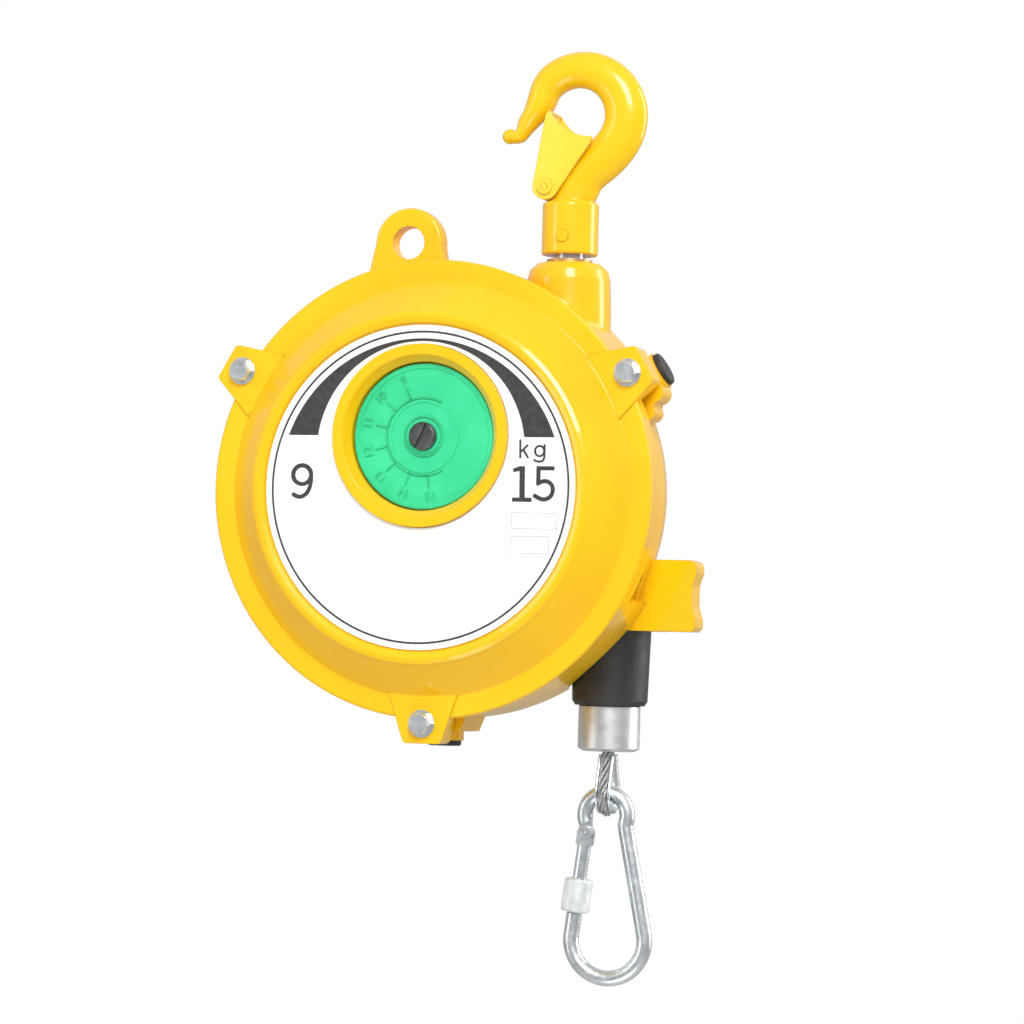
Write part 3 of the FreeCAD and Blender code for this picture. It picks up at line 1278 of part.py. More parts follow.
# ---------------------------------------------------------------- rubber plugs
plugs = []
for plug_angle in PLUG_ANGLES:
    index = len(plugs)
    head_x, head_z = radial("plug_reach - plug_head", plug_angle)
    stem_x, stem_z = radial("housing_radius - 5", plug_angle)
    plug_top = rod(f"PlugTop{index}", "plug_radius", "plug_head", head_x, "plug_plane", head_z,
                   towards(plug_angle))
    plug_edge = rounded(f"PlugEdge{index}", plug_top, "1",
                        lambda e: isinstance(e.Curve, Part.Circle) and math.hypot(e.Curve.Center.x,
                                                                                  e.Curve.Center.z)
                        > number("plug_reach") - 0.01)
    plug_stem_rod = rod(f"PlugStem{index}", "plug_stem", "plug_reach - plug_head - housing_radius + 5.2",
                        stem_x, "plug_plane", stem_z, towards(plug_angle))
    plugs.append(joined(f"Plug{index}", [plug_edge, plug_stem_rod]))
place(group("RubberPlugs", plugs), "rubber_plugs")

# ---------------------------------------------------------------- swivel
HEAD_BOTTOM = "(boss_top - 12 - 2.4 - swivel_head)"
swivel_bolt = turned_body("SwivelBolt", [
    ("0", HEAD_BOTTOM),
    ("swivel_head_radius - 1", HEAD_BOTTOM),
    ("swivel_head_radius", f"{HEAD_BOTTOM} + 1"),
    ("swivel_head_radius", f"{HEAD_BOTTOM} + swivel_head"),
    ("swivel_radius", f"{HEAD_BOTTOM} + swivel_head"),
    ("swivel_radius", "collar_top - 5"),
    ("swivel_radius - 1", "collar_top - 4"),
    ("0", "collar_top - 4"),
], "Z")
PIN_HEIGHT = "(collar_bottom + 6.8)"
pin_through = rod("PinThrough", "2.5", "collar_radius * 2 + 4", "0", "-collar_radius - 2", PIN_HEIGHT)
place(cut("SwivelStem", swivel_bolt, [pin_through]), "swivel_bolt", "hook_line", "hook_plane", "0")
thrust = turned_body("ThrustWasher", [
    ("swivel_radius + running_clearance", f"{HEAD_BOTTOM} + swivel_head"),
    ("swivel_head_radius", f"{HEAD_BOTTOM} + swivel_head"),
    ("swivel_head_radius", "boss_top - 12.1"),
    ("swivel_radius + running_clearance", "boss_top - 12.1"),
], "Z")
place(thrust, "swivel_thrust_washer", "hook_line", "hook_plane", "0")
swivel_bush = turned_body("SwivelBush", [
    ("swivel_radius + running_clearance", "boss_top - 12"),
    (SWIVEL_BUSH, "boss_top - 12"),
    (SWIVEL_BUSH, "boss_top"),
    (f"{SWIVEL_BUSH} + 1.4", "boss_top"),
    (f"{SWIVEL_BUSH} + 1.4", "boss_top + 1"),
    ("swivel_radius + running_clearance", "boss_top + 1"),
], "Z")
place(swivel_bush, "swivel_bush", "hook_line", "hook_plane", "0")
hook_pin = rod("HookPin", "2.5", "collar_radius * 2 + 0.8", "hook_line",
               "hook_plane - collar_radius - 0.4", PIN_HEIGHT)
place(hook_pin, "hook_pin", "hook_line", "hook_plane - collar_radius - 0.4", PIN_HEIGHT)

# ---------------------------------------------------------------- suspension hook
bowl = Vector(number("bowl_x"), 0, number("bowl_z"))
bowl_radius = number("bowl_radius")
half_depth = number("hook_half_depth")
hook_line = number("hook_line")


def oval(centre, lean_angle, half_width, half_thickness):
    """Oval section; lean_angle is the direction of the stem, from +X towards +Z."""
    lean_way = Vector(math.cos(lean_angle), 0, math.sin(lean_angle))
    across_way = Vector(-lean_way.z, 0, lean_way.x)
    if half_width >= half_thickness:
        ellipse = Part.Ellipse(Vector(), half_width, half_thickness - 1e-4)
        frame = FreeCAD.Rotation(across_way, Vector(0, 1, 0), lean_way, "ZXY")
    else:
        ellipse = Part.Ellipse(Vector(), half_thickness, half_width)
        frame = FreeCAD.Rotation(Vector(0, 1, 0), across_way * -1, lean_way, "ZXY")
    wire = Part.Wire([ellipse.toShape()])
    wire.Placement = FreeCAD.Placement(centre, frame)
    return wire


def ring_section(bearing, half_width):
    """Section of the hook where it runs round the bowl."""
    angle = math.radians(bearing)
    reach = bowl_radius + half_width
    centre = bowl + Vector(math.cos(angle), 0, math.sin(angle)) * reach
    return oval(centre, angle + math.pi / 2, half_width, half_depth)


def stem_section(x, z, bearing, half_width, half_thickness):
    return oval(Vector(x, 0, z), math.radians(bearing), half_width, half_thickness)


pivot_x = number("latch_pivot_x")
pivot_z = number("latch_pivot_z")
collar_top = number("collar_top")
hook_sections = [
    stem_section(hook_line + 0.2, collar_top - 6, 90, 10.4, 9.0),
    stem_section(hook_line + 0.6, collar_top + 3, 82, 9.9, 6.9),
    stem_section(hook_line + 4.6, collar_top + 10.5, 58, 9.3, half_depth),
    stem_section(hook_line + 11.6, collar_top + 16.3, 42, 8.9, half_depth),
]
for bearing, half_width in ((-30, 8.8), (0, 8.7), (35, 8.1), (70, 7.5), (105, 7.0), (140, 6.4),
                            (168, 5.6)):
    hook_sections.append(ring_section(bearing, half_width))
tip_x = bowl.x - bowl_radius - 8.6
tip_z = bowl.z - 1.3
hook_sections += [
    stem_section(tip_x, tip_z, 248, 4.4, half_depth - 1.2),
    stem_section(tip_x - 3.2, tip_z - 4.2, 218, 3.5, half_depth - 2.6),
    stem_section(tip_x - 8.6, tip_z - 6.6, 196, 3.0, 3.2),
]
hook_stem = Part.makeLoft(hook_sections, True, False)
tip_ball = Part.makeSphere(3.05, Vector(tip_x - 8.6, 0, tip_z - 6.6))
collar_radius = number("collar_radius")
collar_bottom = number("collar_bottom")
collar = Part.makeCylinder(collar_radius, collar_top - collar_bottom, Vector(hook_line, 0, collar_bottom))
collar = collar.makeFillet(0.8, [e for e in collar.Edges if isinstance(e.Curve, Part.Circle)
                                 and e.Curve.Center.z < collar_bottom + 0.1])
collar = collar.makeFillet(1.6, [e for e in collar.Edges if isinstance(e.Curve, Part.Circle)
                                 and e.Curve.Center.z > collar_top - 0.1])
lug_half = 4.2
pivot_lug = Part.makeCylinder(5.0, 2 * lug_half, Vector(pivot_x, -lug_half, pivot_z), Vector(0, 1, 0))
lug_web = Part.makeBox(10, 2 * lug_half, 8.4, Vector(pivot_x, -lug_half, pivot_z - 4.6))
hook_shape = hook_stem.fuse([tip_ball, collar, pivot_lug, lug_web])
swivel_radius = number("swivel_radius")
stem_bore = Part.makeCylinder(swivel_radius, number("collar_top - 3.8 - collar_bottom") + 2,
                              Vector(hook_line, 0, collar_bottom - 2))
pin_bore = Part.makeCylinder(2.5, 4 * collar_radius,
                             Vector(hook_line, -2 * collar_radius, number(PIN_HEIGHT)), Vector(0, 1, 0))
rivet_bore = Part.makeCylinder(2.0, 20, Vector(pivot_x, -10, pivot_z), Vector(0, 1, 0))
spring_recess = Part.makeCylinder(4.2, 10, Vector(pivot_x, lug_half, pivot_z), Vector(0, 1, 0))
hook_shape = hook_shape.cut(stem_bore).cut(pin_bore).cut(rivet_bore).cut(spring_recess)
shaped("Hook", "suspension_hook", hook_shape, "0", "hook_plane", "0")

# ---------------------------------------------------------------- latch
sheet = number("latch_sheet")
plate_gap = half_depth + 0.5
pivot = Vector(pivot_x, 0, pivot_z)
latch_tip = Vector(bowl.x - bowl_radius + 1.4, 0, bowl.z + 1.2)
latch_heel = Vector(bowl.x + 7.9, 0, bowl.z - 9.3)
edge_low = pivot + Vector(-5.2, 0, 0.6)
edge_high = Vector(latch_tip.x - 1.5, 0, latch_tip.z - 1.4)
heel_low = Vector(latch_heel.x, 0, latch_heel.z - 2.0)
back_low = pivot + Vector(4.9, 0, -2.1)
latch_edges = [
    Part.LineSegment(edge_low, edge_high).toShape(),
    Part.LineSegment(edge_high, latch_tip).toShape(),
    Part.Arc(latch_tip, Vector(bowl.x - 3.7, 0, bowl.z - 5.7), latch_heel).toShape(),
    Part.LineSegment(latch_heel, heel_low).toShape(),
    Part.LineSegment(heel_low, back_low).toShape(),
    Part.Arc(back_low, pivot + Vector(0.2, 0, -5.1), edge_low).toShape(),
]
latch_face = Part.Face(Part.Wire(latch_edges))
outer_width = 2 * (plate_gap + sheet)
latch_block = latch_face.extrude(Vector(0, outer_width, 0)).translated(Vector(0, -plate_gap - sheet, 0))
inside_face = latch_face.copy().translated(Vector(sheet * 1.15, 0, 0))
latch_inside = inside_face.extrude(Vector(0, 2 * plate_gap, 0)).translated(Vector(0, -plate_gap, 0))
past_back = latch_inside.copy().translated(Vector(1.2, 0, 0.6))
far_back = latch_inside.copy().translated(Vector(2.4, 0, -3))
low_room = Part.makeBox(16, 2 * plate_gap, 12, Vector(pivot_x - 8, -plate_gap, pivot_z - 8))
top_room = latch_inside.copy().translated(Vector(1.0, 0, 3.4))
latch_shape = latch_block.cut(latch_inside).cut(past_back).cut(far_back).cut(low_room).cut(top_room)
bore_half = outer_width
latch_bore = Part.makeCylinder(2.05, 2 * bore_half, Vector(pivot_x, -bore_half, pivot_z), Vector(0, 1, 0))
latch_shape = latch_shape.cut(latch_bore)
shaped("Latch", "hook_latch", latch_shape, "0", "hook_plane", "0")

rivet_half = plate_gap + sheet
rivet = Part.makeCylinder(2.0, 2 * rivet_half, Vector(pivot_x, -rivet_half, pivot_z), Vector(0, 1, 0))
for side in (-1, 1):
    start = rivet_half * side if side > 0 else -rivet_half - 1.1
    head_disc = Part.makeCylinder(3.1, 1.1, Vector(pivot_x, start, pivot_z), Vector(0, 1, 0))
    rivet = rivet.fuse(head_disc)
shaped("LatchRivet", "latch_rivet", rivet, "0", "hook_plane", "0")
coil = Part.makeCylinder(3.5, 1.8, Vector(pivot_x, lug_half + 0.2, pivot_z), Vector(0, 1, 0))
coil = coil.cut(Part.makeCylinder(2.4, 4, Vector(pivot_x, lug_half - 1, pivot_z), Vector(0, 1, 0)))
shaped("LatchSpring", "latch_spring", coil, "0", "hook_plane", "0")

# ---------------------------------------------------------------- carabiner
wire = number("wire_radius")
top_radius = number("carabiner_top_radius")
foot_radius = number("carabiner_foot_radius")
waist_radius = number("carabiner_waist_radius")
waist_turn = math.radians(number("carabiner_waist_turn"))
top_centre = Vector(0, 0, -top_radius)
foot_centre = Vector(0, 0, foot_radius + 2 * wire - number("carabiner_length"))
# the loop runs on past its widest point, turns outward at the waist and leaves in a
# straight side that meets the foot's curve
waist_centre = top_centre + Vector(math.cos(waist_turn), 0,
                                   -math.sin(waist_turn)) * (top_radius + waist_radius)
waist_reach = waist_centre.sub(foot_centre)
tilt = math.atan2(waist_reach.z,
                  waist_reach.x) - math.acos((foot_radius + waist_radius) / waist_reach.Length)


def loop_point(centre, radius, angle):
    return centre + Vector(radius * math.cos(angle), 0, radius * math.sin(angle))


def mirrored(point):
    return Vector(-point.x, point.y, point.z)


right_top = loop_point(top_centre, top_radius, -waist_turn)
left_top = mirrored(right_top)
right_waist = loop_point(waist_centre, waist_radius, math.pi + (tilt - waist_turn) / 2)
right_side = loop_point(waist_centre, waist_radius, math.pi + tilt)
left_side = mirrored(right_side)
right_foot = loop_point(foot_centre, foot_radius, tilt)
left_foot = mirrored(right_foot)
down_left = left_foot.sub(left_side)
side_length = down_left.Length
down_left.normalize()
hinge = left_side + down_left * 2.3
joint = left_side + down_left * (side_length - 8.6)
nose_end = joint + down_left * 0.25
gate_end = joint - down_left * 0.25
body_path = [
    Part.LineSegment(nose_end, left_foot).toShape(),
    Part.Arc(left_foot, loop_point(foot_centre, foot_radius, -math.pi / 2), right_foot).toShape(),
    Part.LineSegment(right_foot, right_side).toShape(),
    Part.Arc(right_side, right_waist, right_top).toShape(),
    Part.Arc(right_top, Vector(0, 0, 0), left_top).toShape(),
]
wire_body = sweep(body_path, round_section(nose_end, down_left, wire))
tongue_half = 1.25


def strap(centre, half_thickness, radius, far_point, half_width):
    """A round-ended flat, from a pivot to a point, symmetric about Y = 0."""
    end = Part.makeCylinder(radius, 2 * half_thickness, centre + Vector(0, -half_thickness, 0),
                            Vector(0, 1, 0))
    way = far_point.sub(centre)
    length = way.Length
    way.normalize()
    side = Vector(-way.z, 0, way.x)
    corners = [centre + side * half_width, far_point + side * half_width,
               far_point - side * half_width, centre - side * half_width]
    base = [c + Vector(0, -half_thickness, 0) for c in corners]
    body = Part.Face(Part.makePolygon(base + base[:1])).extrude(Vector(0, 2 * half_thickness, 0))
    return end.fuse(body)


tongue = strap(hinge, tongue_half, 2.5, left_top + Vector(-0.3, 0, 0.9), 2.5)
pin_hole = Part.makeCylinder(1.05, 20, hinge + Vector(0, -10, 0), Vector(0, 1, 0))
carabiner_shape = wire_body.fuse(tongue).cut(pin_hole)


def hung(shape):
    """The carabiner hangs with its foot a little to the right of the rope."""
    leant = shape.copy()
    leant.rotate(Vector(0, 0, 0), Vector(0, 1, 0), -number("carabiner_lean"))
    leant.translate(Vector(-0.6, 0, 0))
    return leant


shaped("Carabiner", "carabiner_body", hung(carabiner_shape), "rope_line", LOAD_PLANE, WIRE_TOP)

gate_radius = number("gate_radius")
fork_half = wire - 0.1
gate_start = hinge + down_left * 1.0
gate_rod = Part.makeCylinder(gate_radius, gate_end.sub(gate_start).Length, gate_start, down_left)
fork = strap(hinge, fork_half, 3.0, hinge + down_left * 4.6, 2.9)
fork_slot = strap(hinge, tongue_half + 0.2, 3.3, hinge - down_left * 6, 3.3)
gate_shape = gate_rod.fuse(fork).cut(fork_slot).cut(pin_hole)
shaped("Gate", "carabiner_gate", hung(gate_shape), "rope_line", LOAD_PLANE, WIRE_TOP)
gate_rivet = Part.makeCylinder(1.0, 2 * fork_half + 0.6, hinge + Vector(0, -fork_half - 0.3, 0),
                               Vector(0, 1, 0))
shaped("GateRivet", "gate_rivet", hung(gate_rivet), "rope_line", LOAD_PLANE, WIRE_TOP)
sleeve_length = number("sleeve_length")
sleeve_start = gate_end - down_left * (sleeve_length + 0.2)
sleeve_tube = Part.makeCylinder(number("sleeve_radius"), sleeve_length, sleeve_start, down_left)
sleeve_tube = sleeve_tube.makeChamfer(0.5,
                                      [e for e in sleeve_tube.Edges if isinstance(e.Curve, Part.Circle)])
sleeve_bore_tool = Part.makeCylinder(wire + 0.25, sleeve_length + 2, sleeve_start - down_left, down_left)
sleeve_shape = sleeve_tube.cut(sleeve_bore_tool)
gate_thread = Part.makeCylinder(wire + 0.2, sleeve_length - 5.6, sleeve_start + down_left * 0.8,
                                down_left)
gate_thread = gate_thread.cut(Part.makeCylinder(gate_radius, 2 * side_length, gate_start, down_left))
shaped("SleeveThread", "gate_thread", hung(gate_thread), "rope_line", LOAD_PLANE, WIRE_TOP)
shaped("Sleeve", "screw_sleeve", hung(sleeve_shape), "rope_line", LOAD_PLANE, WIRE_TOP)

# ---------------------------------------------------------------- check and write
doc.recompute()
for thing in doc.Objects:
    if "Invalid" in thing.State or "Error" in thing.State:
        raise ValueError(f"{thing.Name} failed: {thing.State}")
labels = [node.Label for node in NODES]
if len(set(labels)) != len(labels):
    raise ValueError("two nodes share a label")
os.makedirs("parts", exist_ok=True)
for node in NODES:
    if node.Shape.isNull() or not node.Shape.isValid():
        raise ValueError(f"{node.Label} has no valid shape")
    node.Shape.exportStep(f"parts/{node.Label}.step")
print(len(NODES), "nodes written")
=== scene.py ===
# %% [markdown]
# # A spring tool balancer
# The balancer hangs from its hook, and a tool hangs from the carabiner at the end of its wire rope.
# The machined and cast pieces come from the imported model, in metres, in one frame whose zero is the
# seat of the hook. This lesson gives every one of them a finish made of shader nodes, and adds what
# is too fine for the solid model: the print on the scale plate, the marks on the dial, the lay of
# the rope and the knurl of the sleeve.

# %% Load the frame
import bpy
import bmesh
import json
import math
from mathutils import Matrix, Vector


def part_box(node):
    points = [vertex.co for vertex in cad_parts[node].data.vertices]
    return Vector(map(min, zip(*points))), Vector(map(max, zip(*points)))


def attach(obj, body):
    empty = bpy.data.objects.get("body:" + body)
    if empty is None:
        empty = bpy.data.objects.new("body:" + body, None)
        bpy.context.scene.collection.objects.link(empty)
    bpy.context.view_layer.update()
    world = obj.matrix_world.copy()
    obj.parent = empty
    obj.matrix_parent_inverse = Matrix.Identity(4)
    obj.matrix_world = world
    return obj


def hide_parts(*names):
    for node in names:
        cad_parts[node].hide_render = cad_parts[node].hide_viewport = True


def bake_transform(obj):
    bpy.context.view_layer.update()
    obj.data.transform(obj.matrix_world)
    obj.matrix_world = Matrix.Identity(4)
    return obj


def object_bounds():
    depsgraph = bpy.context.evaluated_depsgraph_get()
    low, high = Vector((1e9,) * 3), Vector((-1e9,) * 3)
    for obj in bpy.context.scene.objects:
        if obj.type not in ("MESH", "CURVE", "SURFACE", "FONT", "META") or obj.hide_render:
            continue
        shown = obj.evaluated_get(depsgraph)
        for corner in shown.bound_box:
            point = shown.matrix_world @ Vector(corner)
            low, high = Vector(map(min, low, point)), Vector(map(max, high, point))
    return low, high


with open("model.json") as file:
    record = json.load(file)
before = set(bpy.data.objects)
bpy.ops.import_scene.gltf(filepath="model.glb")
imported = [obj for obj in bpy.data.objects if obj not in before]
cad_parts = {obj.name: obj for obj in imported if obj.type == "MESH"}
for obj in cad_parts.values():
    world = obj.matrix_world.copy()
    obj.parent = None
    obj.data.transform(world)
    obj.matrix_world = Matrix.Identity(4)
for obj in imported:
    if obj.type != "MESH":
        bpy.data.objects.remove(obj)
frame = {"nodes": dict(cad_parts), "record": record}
cad_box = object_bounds()
nodes = frame["nodes"]
MM = 0.001


def middle(node):
    """Centre of a node's box."""
    low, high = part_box(node)
    return (low + high) / 2


# %% [markdown]
# ## The camera
# A long lens from well back keeps the round housing from looking stretched. The camera stands to
# the right of the dial side and a little below it, so the side wall of the housing shows. A camera
# looks along its own -Z, so its three axes are worked out first and put in a matrix. It aims at a
# point beside the plate, a little behind the cover's front.

# %% Camera
AZIMUTH = math.radians(17.4)
ELEVATION = math.radians(-2.34)
ROLL = math.radians(1.63)
STAND_OFF = 1.48461
AIM_FROM_PLATE = Vector((34.11, 0, -8.55)) * MM
AIM_DEPTH = 14.6 * MM
LENS = 134.45
target = middle("label_plate") + AIM_FROM_PLATE
target.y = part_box("front_cover")[0].y + AIM_DEPTH

towards_eye = Vector((math.sin(AZIMUTH) * math.cos(ELEVATION), -math.cos(AZIMUTH) * math.cos(ELEVATION),
                      math.sin(ELEVATION)))
level = Vector((math.cos(AZIMUTH), math.sin(AZIMUTH), 0))
upright = towards_eye.cross(level)
right = level * math.cos(ROLL) + upright * math.sin(ROLL)
up = towards_eye.cross(right)

camera_data = bpy.data.cameras.new("camera")
camera_data.sensor_width = 36
camera_data.lens = LENS
camera_data.clip_end = 50
camera = bpy.data.objects.new("camera", camera_data)
bpy.context.scene.collection.objects.link(camera)
turn = Matrix((right, up, towards_eye)).transposed().to_4x4()
camera.matrix_world = Matrix.Translation(target + towards_eye * STAND_OFF) @ turn
bpy.context.scene.camera = camera
print("camera at", [round(v, 3) for v in camera.location])

# %% [markdown]
# ## Floor and light
# The object hangs in a bright, plain room. A wide pale floor lies so far under it that the load can
# come all the way down. The floor and the sky look plain white to the camera. What the object itself
# mirrors is a dimmer room that darkens downwards, because metal and glossy paint need something dark
# beside the light to show their form. A light path node tells the two apart.


# %% Floor
def node_material(name):
    """A new node material and its Principled shader."""
    material = bpy.data.materials.new(name)
    material.use_nodes = True
    return material, material.node_tree.nodes["Principled BSDF"]


FLOOR_REACH = 9.0
FLOOR_GAP = 0.35
joints = {joint["name"]: joint for joint in frame["record"]["behaviour"]["joints"]}
travel = joints["cable_pull"]["range_m"][1]
floor_level = cad_box[0][2] - travel - FLOOR_GAP
floor_mesh = bpy.data.meshes.new("studio_floor")
floor_mesh.from_pydata([(x * FLOOR_REACH, y * FLOOR_REACH, floor_level)
                        for x, y in ((-1, -1), (1, -1), (1, 1), (-1, 1))], [], [(0, 1, 2, 3)])
floor = bpy.data.objects.new("studio_floor", floor_mesh)
bpy.context.scene.collection.objects.link(floor)
floor_finish, floor_shader = node_material("pale_floor")
floor_shader.inputs["Base Color"].default_value = (0.62, 0.62, 0.62, 1)
floor_shader.inputs["Roughness"].default_value = 0.9
floor_shader.inputs["Emission Color"].default_value = (1, 1, 1, 1)
glow = floor_finish.node_tree.nodes.new("ShaderNodeLightPath")
floor_finish.node_tree.links.new(glow.outputs["Is Camera Ray"], floor_shader.inputs["Emission Strength"])
floor.data.materials.append(floor_finish)
print("floor level:", round(floor_level, 3))

# %% Room
ROOM_LIGHT = 0.64
world = bpy.data.worlds.new("studio")
world.use_nodes = True
sky = world.node_tree
backdrop = sky.nodes["Background"]
backdrop.inputs["Color"].default_value = (1, 1, 1, 1)
backdrop.inputs["Strength"].default_value = 1.0
room = sky.nodes.new("ShaderNodeBackground")
room.inputs["Strength"].default_value = ROOM_LIGHT
bearing = sky.nodes.new("ShaderNodeTexCoord")
parts_of_bearing = sky.nodes.new("ShaderNodeSeparateXYZ")
walls = sky.nodes.new("ShaderNodeValToRGB")
walls.color_ramp.elements[0].position = 0.34
walls.color_ramp.elements[0].color = (0.42, 0.42, 0.43, 1)
walls.color_ramp.elements[1].position = 0.66
walls.color_ramp.elements[1].color = (1, 1, 1, 1)
rise = sky.nodes.new("ShaderNodeMath")
rise.operation = "MULTIPLY_ADD"
rise.inputs[1].default_value = 0.5
rise.inputs[2].default_value = 0.5
seen = sky.nodes.new("ShaderNodeLightPath")
choice = sky.nodes.new("ShaderNodeMixShader")
sky.links.new(bearing.outputs["Generated"], parts_of_bearing.inputs["Vector"])
sky.links.new(parts_of_bearing.outputs["Z"], rise.inputs[0])
sky.links.new(rise.outputs["Value"], walls.inputs["Fac"])
sky.links.new(walls.outputs["Color"], room.inputs["Color"])
sky.links.new(seen.outputs["Is Camera Ray"], choice.inputs["Fac"])
sky.links.new(room.outputs["Background"], choice.inputs[1])
sky.links.new(backdrop.outputs["Background"], choice.inputs[2])
sky.links.new(choice.outputs["Shader"], sky.nodes["World Output"].inputs["Surface"])
bpy.context.scene.world = world
bpy.context.scene.view_settings.view_transform = "Standard"
print("room light:", ROOM_LIGHT)

# %% [markdown]
# ## Lamps
# Four large area lights give the enamel its long soft highlights: a key from the upper right, a fill
# from the left, a weak one from below, and a rim light from behind. Glossy paint shows what it
# mirrors, so the size of a lamp matters more than its strength.


# %% Lamps
def area_light(name, offset, size, power):
    """A rectangular lamp at an offset from the cover, facing it."""
    lamp = bpy.data.lights.new(name, "AREA")
    lamp.shape = "RECTANGLE"
    lamp.size, lamp.size_y = size
    lamp.energy = power
    holder = bpy.data.objects.new(name, lamp)
    place = heart + Vector(offset)
    holder.location = place
    holder.rotation_euler = (heart - place).to_track_quat("-Z", "Y").to_euler()
    bpy.context.scene.collection.objects.link(holder)


heart = middle("front_cover")
area_light("key", (0.7, -1.7, 1.1), (0.7, 0.9), 35)
area_light("fill", (-1.6, -1.4, 0.2), (0.5, 1.8), 8)
area_light("bounce", (0.2, -1.2, -1.5), (1.0, 0.6), 7)
area_light("rim", (1.6, 0.9, 0.5), (0.5, 1.8), 19)

# %% [markdown]
# ## Finishes
# A finish is a small tree of nodes. The textures read Object coordinates, in metres, so a scale of
# 1000 means grains of about a millimetre. Colour and roughness vary a little, and a bump gives the
# skin its texture. What is the same all over is set on the shader itself.


# %% Helpers that wire a finish
class Finish:
    """A material under construction, with short calls for the nodes it needs."""

    def __init__(self, name, roughness, metallic=0.0):
        self.material, self.shader = node_material(name)
        self.tree = self.material.node_tree
        self.shader.inputs["Metallic"].default_value = metallic
        self.shader.inputs["Roughness"].default_value = roughness
        self.place = self.node("ShaderNodeTexCoord").outputs["Object"]
        self.relief = None

    def node(self, kind, **values):
        made = self.tree.nodes.new(kind)
        for key, value in values.items():
            setattr(made, key, value)
        return made

    def link(self, start, end):
        self.tree.links.new(start, end)

    def noise(self, scale, detail=3.0, roughness=0.5, stretch=None):
        texture = self.node("ShaderNodeTexNoise")
        texture.inputs["Scale"].default_value = scale
        texture.inputs["Detail"].default_value = detail
        texture.inputs["Roughness"].default_value = roughness
        source = self.place
        if stretch:
            mapping = self.node("ShaderNodeMapping")
            mapping.inputs["Scale"].default_value = stretch
            self.link(source, mapping.inputs["Vector"])
            source = mapping.outputs["Vector"]
        self.link(source, texture.inputs["Vector"])
        return texture.outputs["Fac"]

    def colour(self, factor, low, high):
        """Runs the colour from low to high over the middle of a noise."""
        ramp = self.node("ShaderNodeValToRGB")
        for element, position, tone in zip(ramp.color_ramp.elements, (0.35, 0.65), (low, high)):
            element.position = position
            element.color = (*tone, 1)
        self.link(factor, ramp.inputs["Fac"])
        self.link(ramp.outputs["Color"], self.shader.inputs["Base Color"])

    def shine(self, factor, low, high):
        """Runs the roughness from low to high over the middle of a noise."""
        spread = self.node("ShaderNodeMapRange")
        spread.inputs["From Min"].default_value = 0.3
        spread.inputs["From Max"].default_value = 0.7
        spread.inputs["To Min"].default_value = low
        spread.inputs["To Max"].default_value = high
        self.link(factor, spread.inputs["Value"])
        self.link(spread.outputs["Result"], self.shader.inputs["Roughness"])

    def bump(self, height, depth):
        """Adds relief; depth is in metres."""
        bump = self.node("ShaderNodeBump")
        bump.inputs["Strength"].default_value = 1.0
        bump.inputs["Distance"].default_value = depth
        self.link(height, bump.inputs["Height"])
        if self.relief:
            self.link(self.relief, bump.inputs["Normal"])
        self.relief = bump.outputs["Normal"]
        self.link(self.relief, self.shader.inputs["Normal"])

    def coat(self, weight, roughness):
        self.shader.inputs["Coat Weight"].default_value = weight
        self.shader.inputs["Coat Roughness"].default_value = roughness

    def soft_edges(self, radius):
        """Rounds sharp edges in the shading only."""
        edge = self.node("ShaderNodeBevel", samples=4)
        edge.inputs["Radius"].default_value = radius
        self.relief = edge.outputs["Normal"]
        self.link(self.relief, self.shader.inputs["Normal"])


# %% [markdown]
# ## Enamel
# The castings are covered in thick yellow enamel, a slightly wavy, glossy skin over the cast surface.
# The hook is a forging, so its skin is rougher under the same paint, and the pressed latch is
# flatter. A thin coat on top gives the paint its second, sharper highlight.


# %% Enamel
def enamel(name, low, high, peel, skin):
    finish = Finish(name, 0.3)
    finish.soft_edges(0.001)
    finish.colour(finish.noise(24, 4), low, high)
    finish.shine(finish.noise(60, 3), 0.2, 0.32)
    finish.bump(finish.noise(420, 2, 0.4), peel)
    finish.bump(finish.noise(70, 3, 0.5), skin)
    finish.coat(0.45, 0.06)
    finish.shader.inputs["Specular IOR Level"].default_value = 0.3
    return finish.material


cast_enamel = enamel("cast_enamel", (0.93, 0.510, 0.002), (0.95, 0.550, 0.004), 0.00003, 0.00012)
forged_enamel = enamel("forged_enamel", (0.88, 0.52, 0.003), (0.92, 0.57, 0.006), 0.00008, 0.0004)
pressed_enamel = enamel("pressed_enamel", (0.93, 0.60, 0.03), (0.96, 0.68, 0.07), 0.00002, 0.00008)
print("enamels:", cast_enamel.name, forged_enamel.name, pressed_enamel.name)

# %% [markdown]
# ## Metals
# Zinc plate is pale and slightly cloudy; turned parts carry fine rings; wire and spring steel are
# greyer. All are fully metallic, so the colour is that of their reflection.


# %% Metals
def metal(name, low, high, gloss, grain=900, depth=0.00001, cloud=180, stretch=None):
    finish = Finish(name, gloss[0], 1.0)
    finish.soft_edges(0.0003)
    finish.colour(finish.noise(cloud, 4), low, high)
    finish.shine(finish.noise(cloud * 2, 4), gloss[0], gloss[1])
    finish.bump(finish.noise(grain, 3, 0.6, stretch), depth)
    return finish.material


